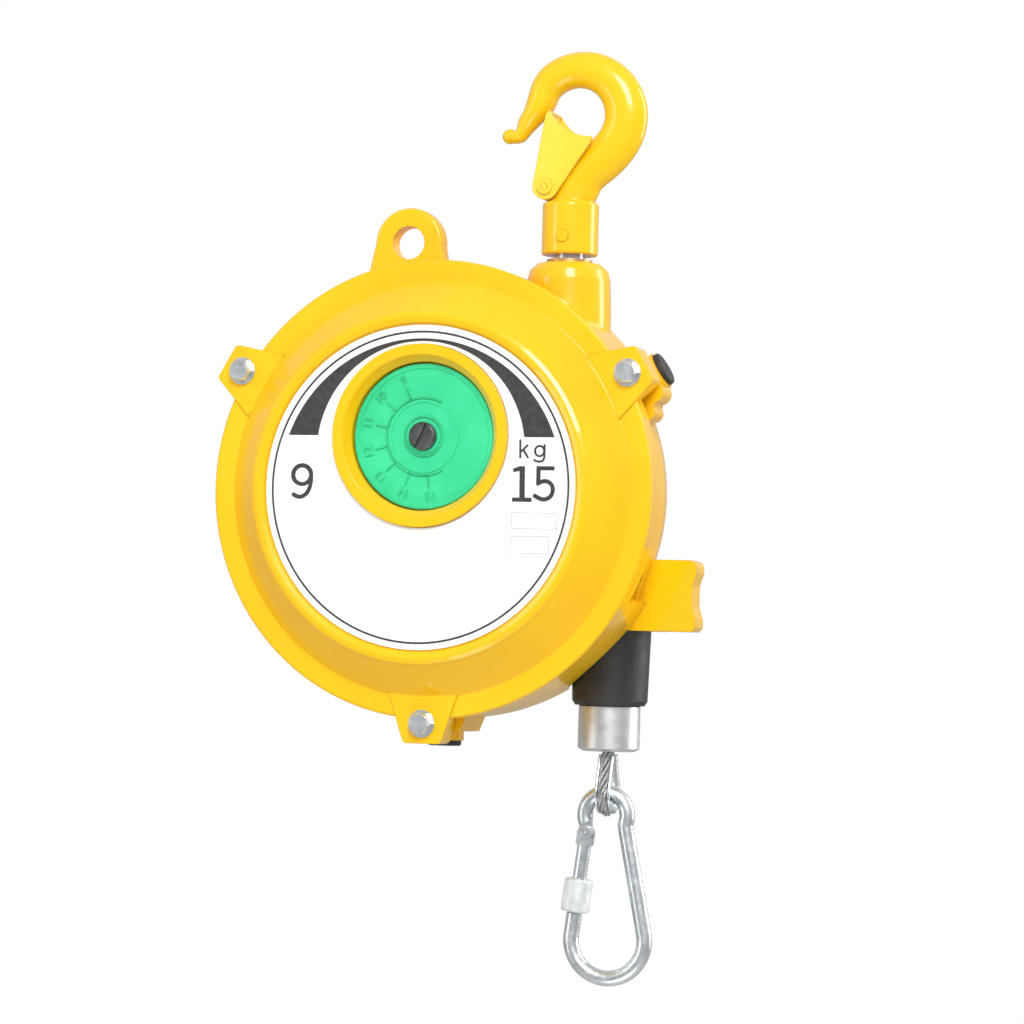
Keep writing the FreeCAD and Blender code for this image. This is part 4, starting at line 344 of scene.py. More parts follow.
zinc = metal("zinc_plate", (0.66, 0.71, 0.73), (0.80, 0.84, 0.86), (0.24, 0.38))
matte_zinc = metal("matte_zinc", (0.80, 0.83, 0.84), (0.92, 0.94, 0.94), (0.5, 0.62), 1500, 0.00002)
bare_steel = metal("turned_steel", (0.50, 0.50, 0.51), (0.62, 0.62, 0.63), (0.2, 0.32))
dark_steel = metal("blackened_steel", (0.10, 0.10, 0.11), (0.17, 0.17, 0.18), (0.35, 0.5))
spring_steel = metal("blued_spring", (0.18, 0.21, 0.28), (0.27, 0.30, 0.38), (0.28, 0.4))
rope_wire = metal("rope_wire", (0.40, 0.41, 0.42), (0.58, 0.59, 0.60), (0.3, 0.42))
bronze = metal("bearing_bronze", (0.55, 0.34, 0.15), (0.66, 0.42, 0.20), (0.35, 0.5), depth=0.00003)
gear_brass = metal("gear_brass", (0.70, 0.50, 0.22), (0.80, 0.60, 0.28), (0.2, 0.34))
cast_aluminium = metal("cast_aluminium", (0.62, 0.63, 0.65), (0.72, 0.73, 0.75), (0.35, 0.5), 500, 0.00005)
satin_aluminium = metal("satin_aluminium", (0.66, 0.68, 0.69), (0.76, 0.78, 0.79), (0.36, 0.46),
                        60, 0.00002, stretch=(1, 1, 60))
print("metals made")

# %% [markdown]
# ## Rubber and plastics
# The buffer is black moulded rubber with a faint bloom. The dial is translucent green plastic, so
# it gets a little light scattered under its skin. The scale plate is white printed plastic.


# %% Rubber and plastics
def moulded(name, low, high, gloss, grain, depth, cloud=90, scatter=0.0):
    finish = Finish(name, gloss[0])
    finish.colour(finish.noise(cloud, 4), low, high)
    finish.shine(finish.noise(cloud * 3, 3), gloss[0], gloss[1])
    finish.bump(finish.noise(grain, 3, 0.55), depth)
    if scatter:
        finish.shader.inputs["Subsurface Weight"].default_value = scatter
        finish.shader.inputs["Subsurface Radius"].default_value = (0.3, 1.0, 0.5)
        finish.shader.inputs["Subsurface Scale"].default_value = 0.002
    return finish.material


black_rubber = moulded("black_rubber", (0.016, 0.015, 0.014), (0.030, 0.028, 0.026), (0.42, 0.58),
                       1400, 0.00003)
black_nylon = moulded("black_nylon", (0.02, 0.02, 0.02), (0.035, 0.035, 0.035), (0.4, 0.5), 1500, 0.00001)
white_nylon = moulded("white_nylon", (0.80, 0.79, 0.74), (0.86, 0.85, 0.81), (0.4, 0.5), 1500, 0.00001)
dial_plastic = moulded("dial_plastic", (0.03, 0.60, 0.27), (0.045, 0.69, 0.33), (0.3, 0.4),
                       300, 0.00002, 60, 0.2)
dial_mark = moulded("dial_mark", (0.02, 0.42, 0.19), (0.04, 0.58, 0.27), (0.35, 0.45), 300, 0.00002, 140)
plate_white = moulded("plate_white", (0.90, 0.91, 0.92), (0.93, 0.94, 0.95), (0.22, 0.3), 200, 0.00001, 20)
print_black = moulded("print_black", (0.03, 0.03, 0.028), (0.05, 0.05, 0.046), (0.35, 0.45),
                      900, 0.000005, 400)
print_grey = moulded("print_grey", (0.42, 0.42, 0.41), (0.50, 0.50, 0.49), (0.35, 0.45), 900, 0.000005, 400)
print("mouldings made")

# %% [markdown]
# ## Dressing the solids
# Each piece of the solid model keeps its mesh and takes the finish that the real piece has.

# %% Assign the finishes
DRESS = {
    matte_zinc: ["screw_sleeve"],
    cast_enamel: ["front_cover", "rear_housing"],
    forged_enamel: ["suspension_hook", "hook_pin"],
    pressed_enamel: ["hook_latch", "latch_rivet"],
    plate_white: ["label_plate"],
    dial_plastic: ["dial"],
    zinc: ["cover_bolts", "cover_washers", "spring_cover", "spring_cover_screws", "thimble",
           "swivel_thrust_washer", "carabiner_body", "carabiner_gate", "gate_rivet", "gate_thread"],
    bare_steel: ["dial_spindle", "main_shaft", "wheel_key", "arbor_key", "worm_shaft", "spring_arbor",
                 "swivel_bolt"],
    dark_steel: ["dial_screw", "shaft_retaining_ring"],
    spring_steel: ["power_spring", "latch_spring"],
    rope_wire: ["rope_on_drum", "rope_lead", "rope_fall", "rope_eye"],
    bronze: ["dial_bush", "front_shaft_bush", "rear_shaft_bush", "worm_bushes", "drum_bush_front",
             "drum_bush_rear", "swivel_bush"],
    gear_brass: ["worm_wheel", "shaft_pinion"],
    cast_aluminium: ["rope_drum"],
    satin_aluminium: ["rope_stopper"],
    black_rubber: ["rubber_buffer", "rubber_plugs"],
    black_nylon: ["rope_guide"],
    white_nylon: ["dial_gear"],
}
dressed = []
for material, names in DRESS.items():
    for name in names:
        piece = nodes[name]
        if not piece.data.materials:
            piece.data.materials.append(material)
        for slot in piece.material_slots:
            slot.material = material
        dressed.append(name)
print("dressed", len(dressed), "of", len(nodes), "nodes; bare:", sorted(set(nodes) - set(dressed)))

# %% [markdown]
# ## The print on the scale plate
# The plate is printed with a fine circle, a crescent that grows from the light end of the load range
# to the heavy end, and the two loads. Each mark is a filled flat curve, which Blender turns into
# faces with holes where one outline lies inside another. It is made lying down and stood up against
# the plate, a few hundredths of a millimetre proud. Marks that cross lie in layers, so that no two
# faces share a plane.

# %% Helpers that place a mark
PRINT = 0.04


def stand_up(mesh, x, y, z):
    """Turns a mesh drawn on XY to face -Y, with its zero at (x, y, z)."""
    mesh.transform(Matrix.Translation((x, y, z)) @ Matrix.Rotation(math.radians(90), 4, "X"))


def new_piece(name, mesh, material):
    """An object in the scene from a mesh with one finish."""
    mesh.name = name
    mesh.materials.clear()
    mesh.materials.append(material)
    piece = bpy.data.objects.new(name, mesh)
    bpy.context.scene.collection.objects.link(piece)
    return piece


def meshed(curve):
    """The mesh of a curve or a text, with nothing left in the scene."""
    holder = bpy.data.objects.new("holder", curve)
    bpy.context.scene.collection.objects.link(holder)
    mesh = bpy.data.meshes.new_from_object(holder.evaluated_get(bpy.context.evaluated_depsgraph_get()))
    bpy.data.objects.remove(holder)
    return mesh


# %% Helpers that draw a mark
def filled(outlines, thickness):
    """A flat shape from closed outlines of (x, y) points in millimetres."""
    curve = bpy.data.curves.new("outline", "CURVE")
    curve.dimensions = "2D"
    curve.fill_mode = "BOTH"
    curve.extrude = thickness * MM / 2
    for points in outlines:
        spline = curve.splines.new("POLY")
        spline.points.add(len(points) - 1)
        for point, (x, y) in zip(spline.points, points):
            point.co = (x * MM, y * MM, 0, 1)
        spline.use_cyclic_u = True
    return meshed(curve)


def circle_points(radius, count=180, x=0.0, y=0.0, start=0.0, end=360.0):
    """Points round a circle, or along an arc with both of its ends."""
    closed = end - start >= 360
    steps = count if closed else count - 1
    return [(x + radius * math.cos(math.radians(start + (end - start) * k / steps)),
             y + radius * math.sin(math.radians(start + (end - start) * k / steps))) for k in range(count)]


def oval_points(x, y, half_width, half_height, count=72):
    """Points round an oval."""
    turns = [math.tau * k / count for k in range(count)]
    return [(x + half_width * math.cos(a), y + half_height * math.sin(a)) for a in turns]


def eased(points, steps=6):
    """A smooth line through the points."""
    if len(points) < 3:
        return [Vector(p) for p in points]
    ends = [points[0], *points, points[-1]]
    line = []
    for before, start, end, after in zip(ends, ends[1:], ends[2:], ends[3:]):
        a, b, c, d = (Vector(p) for p in (before, start, end, after))
        for step in range(steps):
            t = step / steps
            line.append(0.5 * (2 * b + (c - a) * t + (2 * a - 5 * b + 4 * c - d) * t ** 2
                               + (3 * b - a - 3 * c + d) * t ** 3))
    return line + [Vector(points[-1])]


def ways_along(line):
    """The direction of a line of points at each of them."""
    last = len(line) - 1
    return [(line[min(k + 1, last)] - line[max(k - 1, 0)]).normalized() for k in range(last + 1)]


def stroke(points, width):
    """A pen line of even width with round ends, in millimetres."""
    line = eased(points)
    left, right_side = [], []
    for point, way in zip(line, ways_along(line)):
        aside = Vector((-way.y, way.x)) * width / 2
        left.append(tuple(point + aside))
        right_side.append(tuple(point - aside))
    caps = []
    for end, inner in ((line[-1], line[-2]), (line[0], line[1])):
        facing = math.atan2(end.y - inner.y, end.x - inner.x)
        turns = [facing + math.pi / 2 - math.pi * k / 8 for k in range(1, 8)]
        caps.append([(end.x + width / 2 * math.cos(a), end.y + width / 2 * math.sin(a)) for a in turns])
    return filled([left + caps[0] + right_side[::-1] + caps[1]], PRINT)


def lettering(text, height):
    """Flat text of a given height in millimetres, centred on zero."""
    curve = bpy.data.curves.new("lettering", "FONT")
    curve.body = text
    curve.align_x = "CENTER"
    curve.size = 0.01
    mesh = meshed(curve)
    xs = [v.co.x for v in mesh.vertices]
    ys = [v.co.y for v in mesh.vertices]
    scale = height * MM / (max(ys) - min(ys))
    centre = Vector(((max(xs) + min(xs)) / 2, (max(ys) + min(ys)) / 2, 0))
    mesh.transform(Matrix.Diagonal((scale, scale, 1, 1)) @ Matrix.Translation(-centre))
    return mesh


def merged(name, parts, material):
    """One piece from several meshes."""
    whole = bmesh.new()
    for part in parts:
        whole.from_mesh(part)
        bpy.data.meshes.remove(part)
    mesh = bpy.data.meshes.new(name)
    whole.to_mesh(mesh)
    whole.free()
    return new_piece(name, mesh, material)


# %% [markdown]
# The circle is a thin ring. The crescent is an outer arc about the plate's middle closed by an inner
# arc about a point above it. The figures are drawn with a pen stroke of even width along a smooth
# line, and with filled outlines where the strokes are straight. All of it is in millimetres from the
# middle of the plate.

# %% The circle and the crescent
plate = middle("label_plate")
plate_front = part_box("label_plate")[0].y

line_circle = filled([circle_points(60.9), circle_points(60.1)], PRINT)
OUTER_RADIUS = 57.9
INNER_RADIUS = 42.5
INNER_HEIGHT = 14.3
ARC_START = 160.0
ARC_SWEEP = 140.0
ARC_STEPS = 120
arc_turns = [math.radians(ARC_START - ARC_SWEEP * k / (ARC_STEPS - 1)) for k in range(ARC_STEPS)]
outer = [(OUTER_RADIUS * math.cos(a), OUTER_RADIUS * math.sin(a)) for a in arc_turns]
foot = math.degrees(math.asin((outer[0][1] - INNER_HEIGHT) / INNER_RADIUS))
inner = circle_points(INNER_RADIUS, ARC_STEPS, 0, INNER_HEIGHT, foot, 180 - foot)
crescent = filled([outer + inner], PRINT)
print("crescent feet at", round(foot, 1), "degrees")

# %% The loads
BOLD = 1.66
FINE = 0.86
nine = [filled([oval_points(-48.36, 4.27, 4.63, 4.5), oval_points(-48.35, 4.2, 2.83, 2.83)], PRINT),
        stroke([(-44.62, 4.4), (-44.55, 2.2), (-45.0, -0.42), (-46.05, -2.7), (-47.6, -4.0), (-49.0, -4.4),
                (-50.5, -4.15), (-51.7, -3.55)], BOLD)]
one = filled([[(40.66, 8.62), (42.86, 8.62), (43.1, -3.48), (45.9, -3.48), (45.9, -5.12), (37.96, -5.12),
               (37.96, -3.48), (40.9, -3.48), (40.7, 6.72), (38.25, 6.2), (37.96, 7.5)]], PRINT)
five = [filled([[(47.48, 8.7), (54.72, 8.7), (54.72, 7.1), (49.2, 7.1), (49.25, 2.6), (47.5, 2.3)]], PRINT),
        stroke([(48.3, 1.95), (49.4, 2.6), (51.2, 2.95), (53.1, 2.25), (54.1, 0.75), (54.2, -1.1),
                (53.4, -2.9), (51.6, -3.95), (49.7, -3.95), (47.1, -2.75)], BOLD)]
kilo = [stroke([(40.7, 18.5), (40.85, 12.0)], FINE), stroke([(43.6, 16.6), (41.1, 14.2)], FINE),
        stroke([(42.0, 15.0), (43.9, 12.0)], FINE)]
gram = [filled([oval_points(48.55, 14.5, 2.25, 2.4), oval_points(48.55, 14.5, 1.4, 1.55)], PRINT),
        stroke([(50.5, 16.8), (50.55, 14.0), (50.45, 11.9), (49.9, 10.8), (48.6, 10.45), (47.3, 10.6),
                (46.6, 11.0)], FINE)]
LIFT = 0.03
LAYER = 0.002
plate_print = [line_circle, crescent, one, *nine, *five, *kilo, *gram]
for layer, part in enumerate(plate_print):
    stand_up(part, plate.x, plate_front - (LIFT + LAYER * layer) * MM, plate.z)
scale_print = merged("scale_print", plate_print, print_black)
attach(scale_print, "housing")
print("print faces:", len(scale_print.data.polygons))

# %% [markdown]
# Two empty boxes for entries stand under the heavy load. Each is a rectangle with a smaller one
# inside it, which the filled curve leaves open.


# %% Empty boxes
def box_outline(left, right_side, bottom, top, line):
    """A rectangular frame of a given line width."""
    return [[(left, bottom), (right_side, bottom), (right_side, top), (left, top)],
            [(left + line, bottom + line), (right_side - line, bottom + line),
             (right_side - line, top - line), (left + line, top - line)]]


BOX_LINE = 0.28
empty_boxes = [filled(box_outline(37.8, 56.4, -15.6, -9.2, BOX_LINE), PRINT),
               filled(box_outline(37.6, 53.3, -25.0, -18.2, BOX_LINE), PRINT)]
for part in empty_boxes:
    stand_up(part, plate.x, plate_front - LIFT * MM, plate.z)
entry_boxes = merged("entry_boxes", empty_boxes, print_grey)
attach(entry_boxes, "housing")
print("box faces:", len(entry_boxes.data.polygons))

# %% [markdown]
# ## The marks moulded on the dial
# A thin raised ring runs round most of the dial. Short bars stand out from it, one for each
# kilogram of the load range, with its number outside. The ring and the bars are raised by about a
# fifth of a millimetre. The numbers are flat.

# %% Dial marks
dial_centre = middle("dial")
dial_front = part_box("dial")[0].y
RISE = 0.22
RING = 15.2
HALF_LINE = 0.3
HALF_BAR = 0.25
BAR_REACH = 5.2
NUMBER_REACH = 8.2
NUMBER_HEIGHT = 3.4
FIRST_BAR = 112
BAR_STEP = 27.6
marks = [filled([circle_points(RING + HALF_LINE, 120, 0, 0, 62, 302) +
                 circle_points(RING - HALF_LINE, 120, 0, 0, 302, 62)], RISE)]
bar_outline = [(RING, -HALF_BAR), (RING + BAR_REACH, -HALF_BAR),
               (RING + BAR_REACH, HALF_BAR), (RING, HALF_BAR)]
for index, load in enumerate(range(9, 16)):
    away = math.radians(FIRST_BAR + index * BAR_STEP)
    bar_mark = filled([bar_outline], RISE)
    bar_mark.transform(Matrix.Rotation(away, 4, "Z"))
    marks.append(bar_mark)
    figure = lettering(str(load), NUMBER_HEIGHT)
    place = Vector((math.cos(away), math.sin(away), 0)) * (RING + NUMBER_REACH) * MM
    figure.transform(Matrix.Translation(place) @ Matrix.Rotation(away - math.pi / 2, 4, "Z"))
    marks.append(figure)
marks.append(filled([circle_points(8.0), circle_points(7.5)], RISE))
for part in marks:
    stand_up(part, dial_centre.x, dial_front - RISE * MM / 2, dial_centre.z)
dial_marks = merged("dial_marks", marks, dial_mark)
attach(dial_marks, "dial_unit")
print("dial marks:", len(dial_marks.data.polygons), "faces")

# %% [markdown]
# ## The rivet's ring
# The latch turns on a rivet whose head was closed by a rolling tool, which leaves a raised ring. It
# is a flat ring of two outlines, stood up against the head. The rivet is fixed in the hook, so its
# ring stays with the hook when the latch turns.

# %% Rivet ring
rivet_head = middle("latch_rivet")
rivet_ring = filled([circle_points(1.7, 48), circle_points(1.25, 48)], 0.3)
stand_up(rivet_ring, rivet_head.x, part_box("latch_rivet")[0].y - 0.05 * MM, rivet_head.z)
ring_piece = merged("rivet_ring", [rivet_ring], pressed_enamel)
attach(ring_piece, "hook")
print("rivet ring:", len(ring_piece.data.polygons), "faces")

# %% [markdown]
# ## The wire rope round its thimble
# A wire rope is six strands laid round each other, and each strand is a bundle of wires laid the
# other way, so the wires look nearly straight along the rope. A tree of geometry nodes draws this
# from one line: it makes a copy of the line for every wire, moves each copy out to its strand and
# then to its place in the strand, turning as it goes, and gives the lines a round section. The
# lay, the number of strands and the sizes are inputs, so the same tree would draw another rope.


# %% A short way to build trees
class Tree:
    """A geometry tree under construction, with named inputs."""

    def __init__(self, name):
        self.group = bpy.data.node_groups.new(name, "GeometryNodeTree")
        self.group.interface.new_socket("Geometry", in_out="OUTPUT", socket_type="NodeSocketGeometry")
        self.group.interface.new_socket("Geometry", in_out="INPUT", socket_type="NodeSocketGeometry")
        self.start = self.group.nodes.new("NodeGroupInput")
        self.end = self.group.nodes.new("NodeGroupOutput")

    def takes(self, name, kind):
        """Adds a named input and gives its outlet inside the tree."""
        self.group.interface.new_socket(name, in_out="INPUT", socket_type=f"NodeSocket{kind}")
        return self.start.outputs[name]

    def node(self, kind, *joins, **values):
        """A node whose inputs are joined or set in order; None leaves one alone."""
        made = self.group.nodes.new(kind)
        for key, value in values.items():
            setattr(made, key, value)
        for socket, value in zip(made.inputs, joins):
            if isinstance(value, bpy.types.NodeSocket):
                self.group.links.new(value, socket)
            elif value is not None:
                socket.default_value = value
        return made

    def maths(self, work, *joins):
        """The result of a sum, product or other working of numbers."""
        return self.node("ShaderNodeMath", *joins, operation=work).outputs[0]

    def vectors(self, work, first, second):
        """The result of a working of two vectors."""
        return self.node("ShaderNodeVectorMath", first, second, operation=work).outputs[0]

    def times(self, vector, factor):
        """A vector made longer by a factor."""
        made = self.node("ShaderNodeVectorMath", vector, operation="SCALE")
        self.group.links.new(factor, made.inputs["Scale"])
        return made.outputs[0]

    def finish(self, geometry, material):
        """Makes the copies real, dresses them and leads them out of the tree."""
        real = self.node("GeometryNodeRealizeInstances", geometry)
        dressed_mesh = self.node("GeometryNodeSetMaterial", real.outputs["Geometry"])
        self.group.links.new(material, dressed_mesh.inputs["Material"])
        self.group.links.new(dressed_mesh.outputs["Geometry"], self.end.inputs["Geometry"])


def grown(name, mesh, tree, values):
    """A plain mesh that a tree makes from a mesh, with its inputs set by identifier."""
    holder = bpy.data.objects.new(name, mesh)
    bpy.context.scene.collection.objects.link(holder)
    modifier = holder.modifiers.new(name, "NODES")
    modifier.node_group = tree.group
    for item in tree.group.interface.items_tree:
        if item.in_out == "INPUT" and item.name in values:
            modifier[item.identifier] = values[item.name]
    result = bpy.data.meshes.new_from_object(holder.evaluated_get(bpy.context.evaluated_depsgraph_get()))
    bpy.data.objects.remove(holder)
    return result


# %% [markdown]
# The tree for the rope turns two angles into places. The first takes a wire's strand round the rope,
# one turn for each lay. The second takes the wire round its strand the other way. Both grow with the
# length along the line, so the same tree follows any curve.

# %% The tree that lays a wire rope
LINE_STEP = 0.0006
rope_tree = Tree("laid_rope")
STRANDS = rope_tree.takes("Strands", "Int")
WIRES = rope_tree.takes("Wires in a strand", "Int")
STRAND_REACH = rope_tree.takes("Strand reach", "Float")
WIRE_REACH = rope_tree.takes("Wire reach", "Float")
WIRE_SIZE = rope_tree.takes("Wire radius", "Float")
ROPE_LAY = rope_tree.takes("Rope lay", "Float")
STRAND_LAY = rope_tree.takes("Strand lay", "Float")
ROPE_MATERIAL = rope_tree.takes("Material", "Material")

line = rope_tree.node("GeometryNodeMeshToCurve", rope_tree.start.outputs["Geometry"])
soft_line = rope_tree.node("GeometryNodeCurveSplineType", line.outputs["Curve"], spline_type="CATMULL_ROM")
even_line = rope_tree.node("GeometryNodeResampleCurve", soft_line.outputs["Curve"], mode="LENGTH")
even_line.inputs["Length"].default_value = LINE_STEP
copies = rope_tree.node("GeometryNodeDuplicateElements", even_line.outputs["Curve"], domain="SPLINE")
rope_tree.group.links.new(rope_tree.maths("MULTIPLY", STRANDS, WIRES), copies.inputs["Amount"])
number = copies.outputs["Duplicate Index"]
strand_number = rope_tree.maths("FLOOR", rope_tree.maths("DIVIDE", number, WIRES))
wire_number = rope_tree.maths("MODULO", number, WIRES)
run = rope_tree.node("GeometryNodeSplineParameter").outputs["Length"]
lays = rope_tree.maths("DIVIDE", run, ROPE_LAY)
strand_share = rope_tree.maths("DIVIDE", strand_number, STRANDS)
strand_turn = rope_tree.maths("MULTIPLY", rope_tree.maths("ADD", lays, strand_share), math.tau)
wire_share = rope_tree.maths("DIVIDE", wire_number, WIRES)
strand_lays = rope_tree.maths("DIVIDE", run, STRAND_LAY)
wire_turn = rope_tree.maths("MULTIPLY", rope_tree.maths("SUBTRACT", wire_share, strand_lays), math.tau)
normal = rope_tree.node("GeometryNodeInputNormal").outputs["Normal"]
tangent = rope_tree.node("GeometryNodeInputTangent").outputs["Tangent"]
aside = rope_tree.vectors("CROSS_PRODUCT", tangent, normal)


def turned(first, second, angle):
    """A unit vector at an angle from the first towards the second."""
    return rope_tree.vectors("ADD", rope_tree.times(first, rope_tree.maths("COSINE", angle)),
                             rope_tree.times(second, rope_tree.maths("SINE", angle)))


outward = turned(normal, aside, strand_turn)
around = rope_tree.vectors("CROSS_PRODUCT", tangent, outward)
to_wire = turned(outward, around, wire_turn)
shift = rope_tree.vectors("ADD", rope_tree.times(outward, STRAND_REACH),
                          rope_tree.times(to_wire, WIRE_REACH))
moved = rope_tree.node("GeometryNodeSetPosition", copies.outputs["Geometry"])
rope_tree.group.links.new(shift, moved.inputs["Offset"])
section = rope_tree.node("GeometryNodeCurvePrimitiveCircle", 5)
rope_tree.group.links.new(WIRE_SIZE, section.inputs["Radius"])
tubes = rope_tree.node("GeometryNodeCurveToMesh", moved.outputs["Geometry"], section.outputs["Curve"])
tubes.inputs["Fill Caps"].default_value = True
rope_tree.finish(tubes.outputs["Mesh"], ROPE_MATERIAL)
print("rope tree:", len(rope_tree.group.nodes), "nodes")

# %% [markdown]
# The line that the rope follows lies in the plane across the carabiner. It comes down out of the
# stopper, leans away to the thimble, goes round it and climbs back beside itself into the stopper.
# Its places come from the boxes of the solid rope eye and the stopper.

# %% The rope's eye
ROPE_RADIUS = 2.0
ROPE_TURN = 26 * MM
LEG = 2.05
EYE_RADIUS = 7.4
stopper = middle("rope_stopper")
stopper_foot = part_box("rope_stopper")[0].z
eye_low, eye_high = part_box("rope_eye")
eye_height = eye_low.z + (EYE_RADIUS + ROPE_RADIUS) * MM
leg_top = (stopper_foot - eye_height) / MM
leg_reach = math.hypot(LEG, leg_top)
touch = math.atan2(leg_top, LEG) - math.acos(EYE_RADIUS / leg_reach)
touch_point = Vector((EYE_RADIUS * math.cos(touch), EYE_RADIUS * math.sin(touch)))
leg_start = Vector((LEG, leg_top))
live_leg = [(-LEG, (eye_high.z - eye_height) / MM), (-LEG, leg_top + 9), (-LEG, leg_top + 4)]
dead_leg = [(LEG, leg_top + 4), (LEG, leg_top + 9), (LEG, leg_top + 13.5)]
down_leg = [leg_start.lerp(touch_point, t) for t in (-0.02, 0.1, 0.3, 0.5, 0.7, 0.9)]
loop_turns = [touch - k * (math.pi + 2 * touch) / 16 for k in range(17)]
loop = [(-EYE_RADIUS * math.cos(a), EYE_RADIUS * math.sin(a)) for a in loop_turns]
near_leg = [(-p.x, p.y) for p in down_leg]
far_leg = [(p.x, p.y) for p in reversed(down_leg)]
eye_line = live_leg + near_leg + loop + far_leg + dead_leg


def eye_place(across, height):
    """A point of the plane through the rope's eye, from millimetres about the eye's middle."""
    return Vector((stopper.x, stopper.y + across * MM, eye_height + height * MM))


eye_mesh = bpy.data.meshes.new("eye_line")
eye_mesh.from_pydata([eye_place(*p) for p in eye_line], [(k, k + 1) for k in range(len(eye_line) - 1)], [])
strands_mesh = grown("rope_eye_strands", eye_mesh, rope_tree, {
    "Strands": 6, "Wires in a strand": 6, "Strand reach": 1.33 * MM, "Wire reach": 0.44 * MM,
    "Wire radius": 0.225 * MM, "Rope lay": ROPE_TURN, "Strand lay": 7.5 * MM, "Material": rope_wire})
rope_strands = new_piece("rope_strands", strands_mesh, rope_wire)
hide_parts("rope_eye")
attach(rope_strands, "load_end")
print("rope strands:", len(rope_strands.data.polygons), "faces, line points", len(eye_line))

# %% [markdown]
# ## The thimble
# The thimble is a strip of sheet steel rolled into a gutter and bent to a teardrop, so that the rope
# can't kink or wear on the carabiner. Its section is swept along the rope's own line. Near the top
# the two legs come together, so the gutter is pinched flat there, as the points of a real one are.

# %% Thimble
GUTTER = [(math.radians(a), reach_out) for a, reach_out in
          [(12, 2.08), (-15, 2.07), (-45, 2.05), (-90, 2.05), (-135, 2.05), (-165, 2.07), (-192, 2.08),
           (-196, 2.45), (-193, 3.0), (-180, 3.18), (-160, 3.02), (-130, 2.9), (-90, 2.86), (-50, 2.9),
           (-20, 3.02), (0, 3.18), (13, 3.0), (16, 2.45)]]
STOPPER_GAP = 0.3
HALF_SLIT = 0.03
fine_line = eased([Vector(p) for p in eye_line if p[1] < leg_top - STOPPER_GAP], 4)
thimble = bmesh.new()
rings = []
for point, way in zip(fine_line, ways_along(fine_line)):
    out = Vector((way.y, -way.x))
    ring = []
    for angle, reach_out in GUTTER:
        spot = point + out * reach_out * math.sin(angle)
        if point.y > touch_point.y and point.x < 0:
            spot.x = min(spot.x, -HALF_SLIT)
        if point.y > touch_point.y and point.x > 0:
            spot.x = max(spot.x, HALF_SLIT)
        sideways = Vector((reach_out * math.cos(angle) * MM, 0, 0))
        ring.append(thimble.verts.new(eye_place(spot.x, spot.y) + sideways))
    rings.append(ring)
for first, second in zip(rings, rings[1:]):
    for k in range(len(GUTTER)):
        after = (k + 1) % len(GUTTER)
        thimble.faces.new((first[k], first[after], second[after], second[k]))
thimble.faces.new(rings[0])
thimble.faces.new(reversed(rings[-1]))
bmesh.ops.recalc_face_normals(thimble, faces=thimble.faces)
thimble_mesh = bpy.data.meshes.new("rope_thimble")
thimble.to_mesh(thimble_mesh)
thimble.free()
thimble_mesh.shade_smooth()
rope_thimble = new_piece("rope_thimble", thimble_mesh, zinc)
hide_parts("thimble")
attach(rope_thimble, "load_end")
print("thimble:", len(rope_thimble.data.polygons), "faces")

# %% [markdown]
# ## The rope that is paid out
# At rest the stretch of rope between the drum's outlet and the stopper is hidden in the buffer. When
# the load is pulled down, 1.3 m of rope comes out. One piece stands for all of it, built at rest. Its
# rings are spaced by a smooth step, and the twist of each ring counts the rope that would be out at that
# step, so that the lay would come out even if the piece were stretched from the housing to the load.

# %% Paid-out rope
fall_low, fall_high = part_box("rope_fall")
fall_centre = (fall_low + fall_high) / 2
fall_length = fall_high.z - fall_low.z
RINGS = 1240
SPOKES = 24
VALLEY = 1.72
CROWN = 0.27


def share_at(step):
    """The share of the way down at which the smooth step has this value."""
    low, high = 0.0, 1.0
    for _ in range(40):
        half = (low + high) / 2
        low, high = (half, high) if half * half * (3 - 2 * half) < step else (low, half)
    return (low + high) / 2


fall = bmesh.new()
lay_map = fall.loops.layers.uv.new("lay")
fall_rings = []
for k in range(RINGS):
    share = share_at(k / (RINGS - 1))
    out_run = fall_length * share + travel * k / (RINGS - 1)
    twist = math.tau * out_run / ROPE_TURN
    ring = []
    for spoke in range(SPOKES):
        angle = math.tau * spoke / SPOKES
        bulge = VALLEY + CROWN * abs(math.cos(3 * angle))
        ring.append(fall.verts.new((fall_centre.x + bulge * MM * math.cos(angle + twist),
                                    fall_centre.y + bulge * MM * math.sin(angle + twist),
                                    fall_high.z - fall_length * share)))
    fall_rings.append((ring, out_run / ROPE_TURN))
for (first, above), (second, below) in zip(fall_rings, fall_rings[1:]):
    for spoke in range(SPOKES):
        after = (spoke + 1) % SPOKES
        face = fall.faces.new((first[spoke], first[after], second[after], second[spoke]))
        face.smooth = True
        near = spoke / SPOKES
        far = near + 1 / SPOKES
        for corner, spot in zip(face.loops, ((near, above), (far, above), (far, below), (near, below))):
            corner[lay_map].uv = spot
fall.faces.new(fall_rings[0][0])
fall.faces.new(reversed(fall_rings[-1][0]))
bmesh.ops.recalc_face_normals(fall, faces=fall.faces)
fall_mesh = bpy.data.meshes.new("paid_rope")
fall.to_mesh(fall_mesh)
fall.free()
print("paid-out rope:", len(fall_mesh.polygons), "faces, travel", travel)

# %% [markdown]
# The wires of the paid-out rope are too many to model, so its finish draws them: a wave runs along
# the piece's own map, which goes round the rope and down its lay, and slants across each strand.

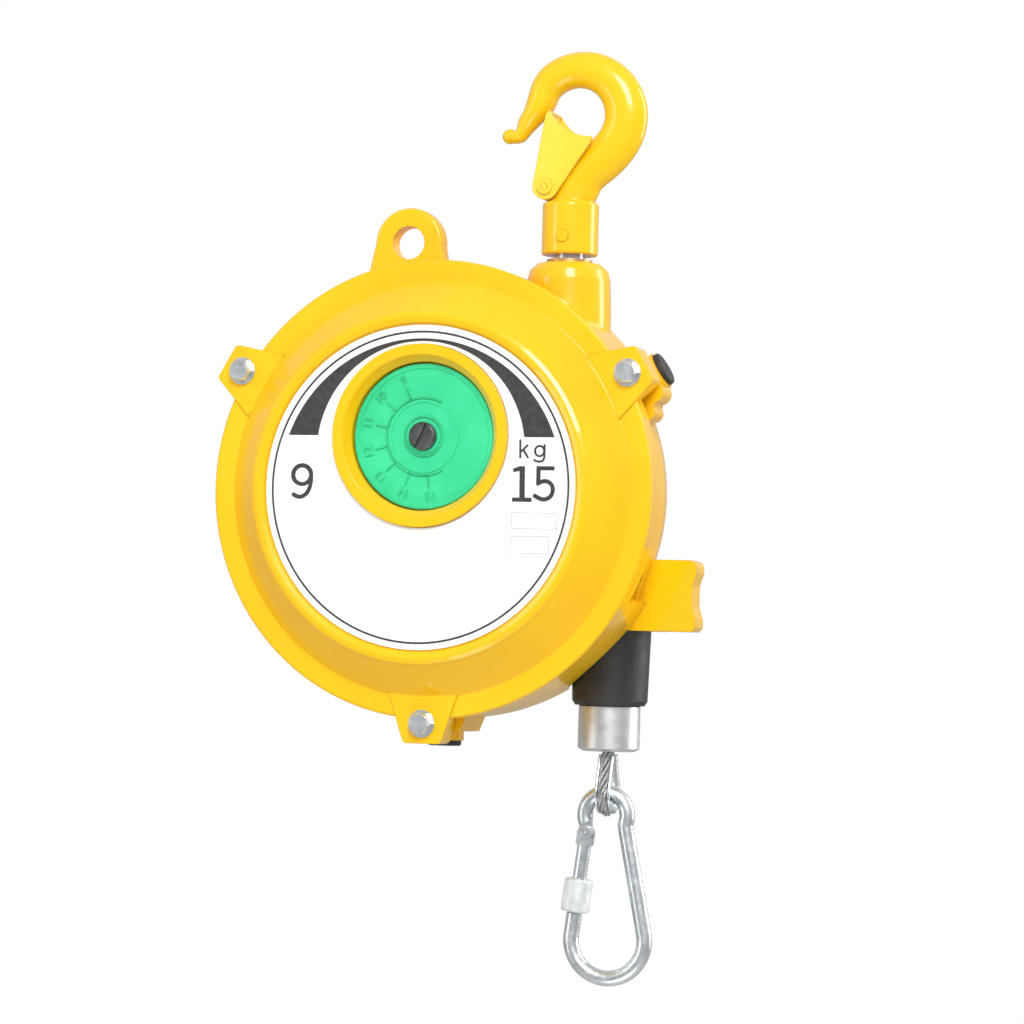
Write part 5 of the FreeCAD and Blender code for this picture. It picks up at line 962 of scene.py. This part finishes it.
# %% Finish of the paid-out rope
paid = Finish("paid_rope_wire", 0.34, 1.0)
paid.colour(paid.noise(220, 4), (0.34, 0.35, 0.36), (0.52, 0.53, 0.54))
lay_place = paid.node("ShaderNodeUVMap", uv_map="lay").outputs["UV"]
slant = paid.node("ShaderNodeMapping")
slant.inputs["Rotation"].default_value = (0, 0, math.radians(8))
wires_drawn = paid.node("ShaderNodeTexWave", wave_type="BANDS", bands_direction="X")
wires_drawn.inputs["Scale"].default_value = 11.3
wires_drawn.inputs["Distortion"].default_value = 0.0
paid.link(lay_place, slant.inputs["Vector"])
paid.link(slant.outputs["Vector"], wires_drawn.inputs["Vector"])
paid.bump(wires_drawn.outputs["Fac"], 0.0001)
paid_rope = new_piece("paid_rope", fall_mesh, paid.material)
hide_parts("rope_fall")
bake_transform(paid_rope)
print("paid-out rope dressed in", paid.material.name)

# %% [markdown]
# ## The knurl of the locking sleeve
# The sleeve is turned by hand, so its barrel is straight-knurled. A second tree sets a ring of thin
# bars round an axis. The bars lie half in the barrel, so only their crests stand out.

# %% The tree that sets the bars
knurl_tree = Tree("knurl")
COUNT = knurl_tree.takes("Count", "Int")
BARREL = knurl_tree.takes("Barrel radius", "Float")
BAR_LENGTH = knurl_tree.takes("Bar length", "Float")
BAR_SIZE = knurl_tree.takes("Bar radius", "Float")
KNURL_MATERIAL = knurl_tree.takes("Material", "Material")
ring_of_points = knurl_tree.node("GeometryNodeMeshCircle")
knurl_tree.group.links.new(COUNT, ring_of_points.inputs["Vertices"])
knurl_tree.group.links.new(BARREL, ring_of_points.inputs["Radius"])
bar = knurl_tree.node("GeometryNodeMeshCylinder", 6)
knurl_tree.group.links.new(BAR_SIZE, bar.inputs["Radius"])
knurl_tree.group.links.new(BAR_LENGTH, bar.inputs["Depth"])
bars = knurl_tree.node("GeometryNodeInstanceOnPoints", ring_of_points.outputs["Mesh"])
knurl_tree.group.links.new(bar.outputs["Mesh"], bars.inputs["Instance"])
knurl_tree.finish(bars.outputs["Instances"], KNURL_MATERIAL)

# %% Knurl on the sleeve
sleeve_axis = Vector(joints["sleeve_slide"]["axis"])
sleeve_middle = middle("screw_sleeve")
knurl_mesh = grown("knurl", bpy.data.meshes.new("seed"), knurl_tree, {
    "Count": 46, "Barrel radius": 5.52 * MM, "Bar length": 11.4 * MM, "Bar radius": 0.24 * MM,
    "Material": matte_zinc})
leaning = sleeve_axis.to_track_quat("Z", "Y").to_matrix().to_4x4()
knurl_mesh.transform(Matrix.Translation(sleeve_middle) @ leaning)
sleeve_knurl = new_piece("sleeve_knurl", knurl_mesh, matte_zinc)
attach(sleeve_knurl, "sleeve")
print("knurl:", len(sleeve_knurl.data.polygons), "faces")
